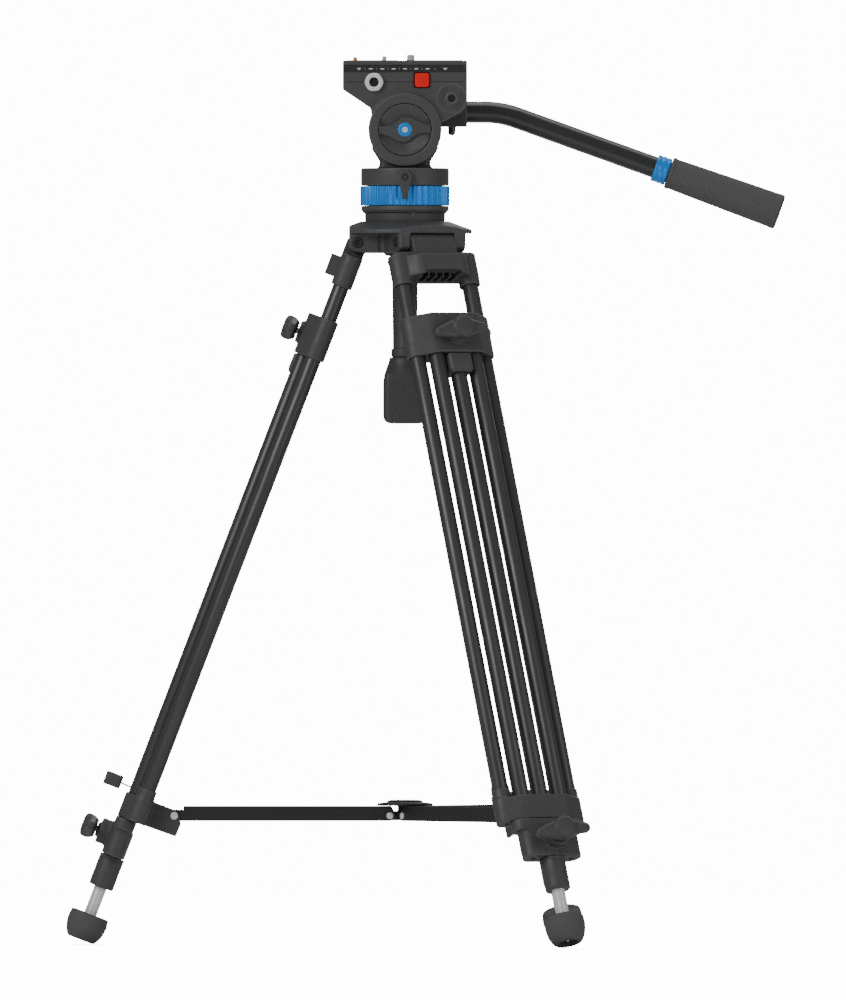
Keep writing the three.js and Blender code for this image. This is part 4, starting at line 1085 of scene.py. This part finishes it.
class TRIPOD_OT_tilt_controls(bpy.types.Operator):
    """Makes the drag dial, the clamp ring, the release button and the near rosette"""

    bl_idname = "tripod.tilt_controls"
    bl_label = "Tilt controls"

    def execute(self, context):
        self.dial()
        self.clamp_ring()
        self.release_button()
        self.rosette(context.scene.tripod_sizes.rosette_teeth)
        return {"FINISHED"}

    def dial(self):
        """A dial with two finger hollows either side of an S-shaped bar. With s = x / 25, the bar's upper
        edge is 2.6 + 9.2 exp(-((s - 0.02) / w)^2), where w is 0.38 left of 0.02 and 0.62 right of it, and
        its lower edge is the same turned half round. Beyond an edge the face drops 3.6 in 1.8, then rises
        to the rim."""
        face, reach = -low("tilt_drag_knob")[1] - 0.6, 24.6
        at = on_head(0, 0, TILT_Z, "front")
        r = np.concatenate([[25.1, 25.1, 24.9], np.linspace(reach, 0.3, 70)])[:, None]
        u = np.linspace(0, 2 * math.pi, 200, endpoint=False)[None, :]
        x, y = r * np.cos(u), r * np.sin(u)
        side = np.where(y < 0, -1.0, 1.0)
        s = side * x / 25
        edge = 2.6 + 9.2 * np.exp(-(((s - 0.02) / np.where(s < 0.02, 0.38, 0.62)) ** 2))
        beyond = side * y - edge
        room = np.maximum(np.sqrt(np.clip(reach**2 - x**2, 0, None)) - edge, 1)
        hollow = 3.6 * eased(beyond / 1.8) * (1 - eased(beyond / room))
        level = np.concatenate([[0.4 - RAIL_FACE, face - 0.9, face - 0.3], np.full(70, face)])[:, None]
        skin = np.stack([x, y, level - np.where(r > reach, 0, hollow)], axis=-1)
        axle = turned([(7, -38), (7, -RAIL_FACE + 2)], 32)
        Shell().skin(skin, at).skin(axle, at).piece(
            "tilt_drag_dial", "plastic", "tilt_knob", ["tilt_drag_knob"], crease=60)
        cap = lathe([
            (6.8, face - 1.2), (6.8, face + 0.1), (6.2, face + 0.5), (0.6, face + 0.55),
        ], 0.3, 4, 56)
        Shell().skin(cap, at).piece("tilt_drag_dial_cap", "blue", "tilt_knob")
        centre = lathe([
            (2.8, face), (2.8, face + 0.62), (2.5, face + 0.72), (0.6, face + 0.74),
        ], 0.2, 3, 40)
        Shell().skin(centre, at).piece("tilt_drag_dial_dot", "mark", "tilt_knob")

    def clamp_ring(self):
        """A bright ring, r (1 + 0.022 cos 6 u) at its face, round a bore whose floor is covered by a
        near-black disc of painted shade.
        """
        place = joint_place("clamp_knob_turn")
        at = placed(AXES["front"], (place[0], 0, place[2]))
        face, back = -low("plate_clamp_knob")[1], -RAIL_FACE
        profile = softened([
            (7.6, back + 0.2), (9.0, back + 0.6), (9.0, face - 1.2), (8.0, face), (5.4, face),
            (4.6, face - 0.8), (4.6, back + 1.6), (1.0, back + 1.6),
        ], 0.5, 4)

        def lobed(u, h):
            return 1 + 0.022 * np.cos(6 * u) * np.clip((face - h) / 2, 0, 1)

        Shell().skin(turned(profile, 96, lobed), at).piece(
            "plate_clamp_ring", "steel", "clamp_knob", ["plate_clamp_knob"])
        # painted shade: a near-black disc on the floor of the bore
        bore = turned([(4.5, back + 1.7), (4.5, back + 2.0), (1.0, back + 2.0)], 40)
        Shell().skin(bore, at).piece("plate_clamp_ring_bore", "dark", "clamp_knob")

    def release_button(self):
        lo_, hi_ = low("plate_release_button"), high("plate_release_button")
        middle = (lo_ + hi_) / 2
        face = prism(rectangle(hi_[0] - lo_[0], hi_[2] - lo_[2], 2.6, 6),
                     soft_ends(-hi_[1], -lo_[1], 1.0, 5))
        Shell().skin(face, placed(AXES["front"], (middle[0], 0, middle[2]))).piece(
            "plate_release_button_moulded", "red", "release", ["plate_release_button"])

    def rosette(self, teeth):
        """A disc whose face rises by 0.36 |sin(teeth u / 2)| between the hub's ring and the rim."""
        front = -RAIL_FACE
        radii, heights = np.array([
            (14.7, -1.0), (14.7, 0.1), (14.3, 0.4), (13.6, 0.4), (12.0, 0.4), (10.5, 0.4), (9.0, 0.4),
            (7.6, 0.4), (6.6, 0.4), (5.6, 0.5), (5.2, 0.9), (4.4, 0.9), (4.0, 0.7), (3.6, 0.2), (3.5, -0.4),
        ]).T
        u = np.linspace(0, 2 * math.pi, teeth * 8, endpoint=False)[None, :]
        grooved = ((radii > 6.7) & (radii < 14.4))[:, None]
        h = front + heights[:, None] + grooved * 0.36 * (np.abs(np.sin(teeth * u / 2)) - 0.6)
        r = radii[:, None] + 0 * u
        disc = np.stack([r * np.cos(u), r * np.sin(u), h], axis=-1)
        at = on_head(ROSETTE_X, 0, ROSETTE_Z, "front")
        Shell().skin(disc, at).piece("near_rosette", "casting", "tilt", crease=50)
        # painted shade: a near-black disc in the hub's recess
        bore = turned([(3.4, front - 0.5), (3.4, front - 0.1), (0.8, front - 0.1)], 32)
        Shell().skin(bore, at).piece("near_rosette_bore", "dark", "tilt")


class TRIPOD_OT_camera_plate(bpy.types.Operator):
    """Makes the sliding plate, its rubber pads, its screws and its pin"""

    bl_idname = "tripod.camera_plate"
    bl_label = "Camera plate"

    def execute(self, context):
        cast_node("camera_plate", "casting", 0.9, 2)
        pads = Shell()
        for start, end in ((-56.0, -6.5), (1.3, 55.6)):
            pad = prism(rectangle(end - start, 15.0, 2.0), soft_ends(-0.4, 0.55, 0.3, 3))
            for y in (-15.5, 15.5):
                pads.skin(pad, on_head((start + end) / 2, y, PLATE_TOP))
        pads.piece("camera_plate_pads", "rubber", "plate")
        pin = lathe([(2.0, -1), (2.0, 3.0), (1.5, 3.7), (0.4, 3.8)], 0.4, 3, 32)
        Shell().skin(pin, on_head(-48.3, 0, PLATE_TOP)).piece("locating_pin", "brass", "plate")
        self.screws(context.scene.tripod_sizes.screw_pitch)
        return {"FINISHED"}

    def screws(self, pitch):
        """Threaded studs with chamfered tips."""
        for name, x, radius, top, body, stands_for in (
            ("spare_screw", -20.0, 2.2, 4.7, "plate", []),
            ("camera_screw_threaded", 5.6, 3.7, high("camera_screw")[2] - PLATE_TOP, "screw",
             ["camera_screw"]),
        ):
            thread = threaded(radius, -5.5, top - 0.8, pitch)
            tip = turned([(radius - 0.3, top - 1.2), (radius - 0.3, top - 0.7), (radius - 1.0, top),
                          (0.4, top)], 36)
            at = on_head(x, 0, PLATE_TOP)
            Shell().skin(thread, at).skin(tip, at).piece(name, "steel", body, stands_for)


class TRIPOD_OT_pan_bar(bpy.types.Operator):
    """Makes the bent pan bar, its blue ring, grip and bracket"""

    bl_idname = "tripod.pan_bar"
    bl_label = "Pan bar"

    def execute(self, context):
        radius = context.scene.tripod_sizes.bar_radius
        drop, corner_x, bend = math.radians(19.8), 93.4, 95.0
        y, z = 44.0, TILT_Z + 17.9
        reach = bend * math.tan(drop / 2)
        slope = np.array([math.cos(drop), 0, -math.sin(drop)])
        corner = np.array([PAN_X + corner_x, y, z])
        s = np.linspace(0, 1, 25)[:, None]
        start = corner - (reach, 0, 0)
        arc = start * (1 - s) ** 2 + 2 * corner * s * (1 - s) + (corner + reach * slope) * s**2
        path = np.vstack([[(PAN_X + 38.4, y, z)], arc, [corner + 268 * slope]])
        Shell().skin(swept(path, radius, 56)).piece("pan_bar_coated", "bar", "handle", ["pan_bar"])
        turn = np.column_stack([(0, 1, 0), np.cross(slope, (0, 1, 0)), slope])
        at = placed(turn, corner)
        self.ring(at)
        self.grip(at)
        self.bracket(y, z)
        return {"FINISHED"}

    def ring(self, at):
        """A turned ring with two grooves."""
        start, end, r = 158.5, 172.7, 13.4
        outer = lathe([
            (10.9, start), (12.6, start), (r, start + 0.8), (r, start + 3.6), (r - 0.6, start + 4.0),
            (r - 0.6, start + 4.6), (r, start + 5.0), (r, end - 5.0), (r - 0.6, end - 4.6),
            (r - 0.6, end - 4.0), (r, end - 3.6), (r, end - 0.8), (12.6, end), (10.9, end),
        ], 0.25, 2, 80, closed=True)
        Shell().skin(outer, at, closed=True).piece(
            "pan_bar_ring_turned", "blue", "handle", ["pan_bar_ring"])

    def grip(self, at):
        """A swelling grip with two end lips and a domed cap."""
        start, end = 173.0, 288.0
        rings = lathe([
            (11.0, start), (15.0, start), (15.8, start + 1.2), (15.8, start + 3.4), (15.0, start + 4.2),
            (15.3, start + 10), (16.3, start + 60), (17.0, end - 14), (17.0, end - 7), (17.4, end - 6),
            (17.4, end - 2), (16.2, end - 0.4), (12, end), (5, end - 0.2), (4, end - 1.2), (1, end - 1.2),
        ], 1.4, 4, 96)
        Shell().skin(rings, at).piece(
            "pan_bar_grip_moulded", "grip", "handle", ["pan_bar_grip"])

    def bracket(self, y, z):
        cast_node("pan_bar_bracket", "casting", 0.8, 6)
        screw = lathe([(3.6, -12), (3.6, -20.4), (2.6, -22.2), (0.6, -22.7)], 1.2, 5, 40)
        Shell().skin(screw, on_head(45.5, y, z)).piece("pan_bar_clamp_screw", "bar", "handle", slot="knob")


# ---------------------------------------------------------------- studio
class TRIPOD_OT_studio(bpy.types.Operator):
    """Makes the pale floor, the soft lights and the camera"""

    bl_idname = "tripod.studio"
    bl_label = "Studio"

    def execute(self, context):
        self.floor()
        self.light("key", (-1.7, -2.3, 1.9), 1.4, 34.0)
        self.light("fill", (2.4, -2.0, 1.0), 1.6, 12.0)
        self.light("overhead", (0.2, 0.4, 3.0), 1.8, 16.0)
        self.light("back", (0.8, 2.6, 1.8), 1.6, 14.0)
        self.surround(context.scene)
        self.camera(context.scene)
        return {"FINISHED"}

    def surround(self, scene):
        """A world that is white to look at and lights the tripod only dimly."""
        world = bpy.data.worlds.new("white studio")
        scene.world = world
        world.use_nodes = True
        tree = world.node_tree
        background = tree.nodes["Background"]
        background.inputs["Color"].default_value = (1, 1, 1, 1)
        strength = tree.nodes.new("ShaderNodeMapRange")
        strength.inputs["To Min"].default_value = AMBIENT
        strength.inputs["To Max"].default_value = WHITE
        seen = tree.nodes.new("ShaderNodeLightPath").outputs["Is Camera Ray"]
        tree.links.new(seen, strength.inputs["Value"])
        tree.links.new(strength.outputs["Result"], background.inputs["Strength"])

    def floor(self):
        """A disc of 4 m radius just under the feet."""
        disc = turned([(4000, -6.0), (4000, -0.2), (3990, 0.0), (10, 0.0)], 96)
        Shell().skin(disc, on_head(0, 0, 0)).made("studio_floor", "floor")

    def light(self, name, place, size, power):
        """A square area light that faces the tripod's middle."""
        data = bpy.data.lights.new(name, "AREA")
        data.size, data.energy = size, power
        lamp = bpy.data.objects.new(name, data)
        bpy.context.scene.collection.objects.link(lamp)
        lamp.location = place
        lamp.rotation_mode = "QUATERNION"
        lamp.rotation_quaternion = (Vector((0.0, 0.0, 0.45)) - Vector(place)).to_track_quat("-Z", "Y")

    def camera(self, scene):
        """A level long lens, aimed a little right of the pan axis, at half of the field's height."""
        sizes = scene.tripod_sizes
        data = bpy.data.cameras.new("camera")
        data.sensor_fit = "VERTICAL"
        data.sensor_height = sizes.sensor_height
        data.lens = sizes.lens
        distance = sizes.field_height * sizes.lens / sizes.sensor_height * MM
        data.clip_start, data.clip_end = 1.0, distance + 20
        camera = bpy.data.objects.new("camera", data)
        scene.collection.objects.link(camera)
        camera.location = ((PAN_X + 17.5) * MM, -distance, 431.2 * MM)
        camera.rotation_euler = (math.pi / 2, 0, 0)
        scene.camera = camera


STEPS = (
    TRIPOD_OT_leg_tubes, TRIPOD_OT_lower_tubes, TRIPOD_OT_feet, TRIPOD_OT_wing_knobs,
    TRIPOD_OT_leg_castings,
    TRIPOD_OT_hinge_pins, TRIPOD_OT_leg_catch, TRIPOD_OT_spreader, TRIPOD_OT_crown,
    TRIPOD_OT_levelling_ball,
    TRIPOD_OT_pan_base, TRIPOD_OT_tilt_body, TRIPOD_OT_tilt_controls, TRIPOD_OT_camera_plate,
    TRIPOD_OT_pan_bar,
    TRIPOD_OT_studio,
)


class TRIPOD_PT_panel(bpy.types.Panel):
    """Lists the tripod's pieces and settings"""

    bl_idname = "TRIPOD_PT_panel"
    bl_label = "Tripod"
    bl_space_type = "VIEW_3D"
    bl_region_type = "UI"
    bl_category = "Tripod"

    def draw(self, context):
        for group in (context.scene.tripod_sizes, context.scene.tripod_colours):
            column = self.layout.column(align=True)
            for key in type(group).__annotations__:
                column.prop(group, key)
        for step in STEPS:
            self.layout.operator(step.bl_idname)


CLASSES = (TripodColours, TripodSizes, *STEPS, TRIPOD_PT_panel)


def register():
    for made in CLASSES:
        bpy.utils.register_class(made)
    bpy.types.Scene.tripod_sizes = bpy.props.PointerProperty(type=TripodSizes)
    bpy.types.Scene.tripod_colours = bpy.props.PointerProperty(type=TripodColours)


def unregister():
    del bpy.types.Scene.tripod_colours
    del bpy.types.Scene.tripod_sizes
    for made in reversed(CLASSES):
        bpy.utils.unregister_class(made)


def main():
    register()
    for step in STEPS:
        group, name = step.bl_idname.split(".")
        getattr(getattr(bpy.ops, group), name)()


if __name__ == "__main__":
    main()
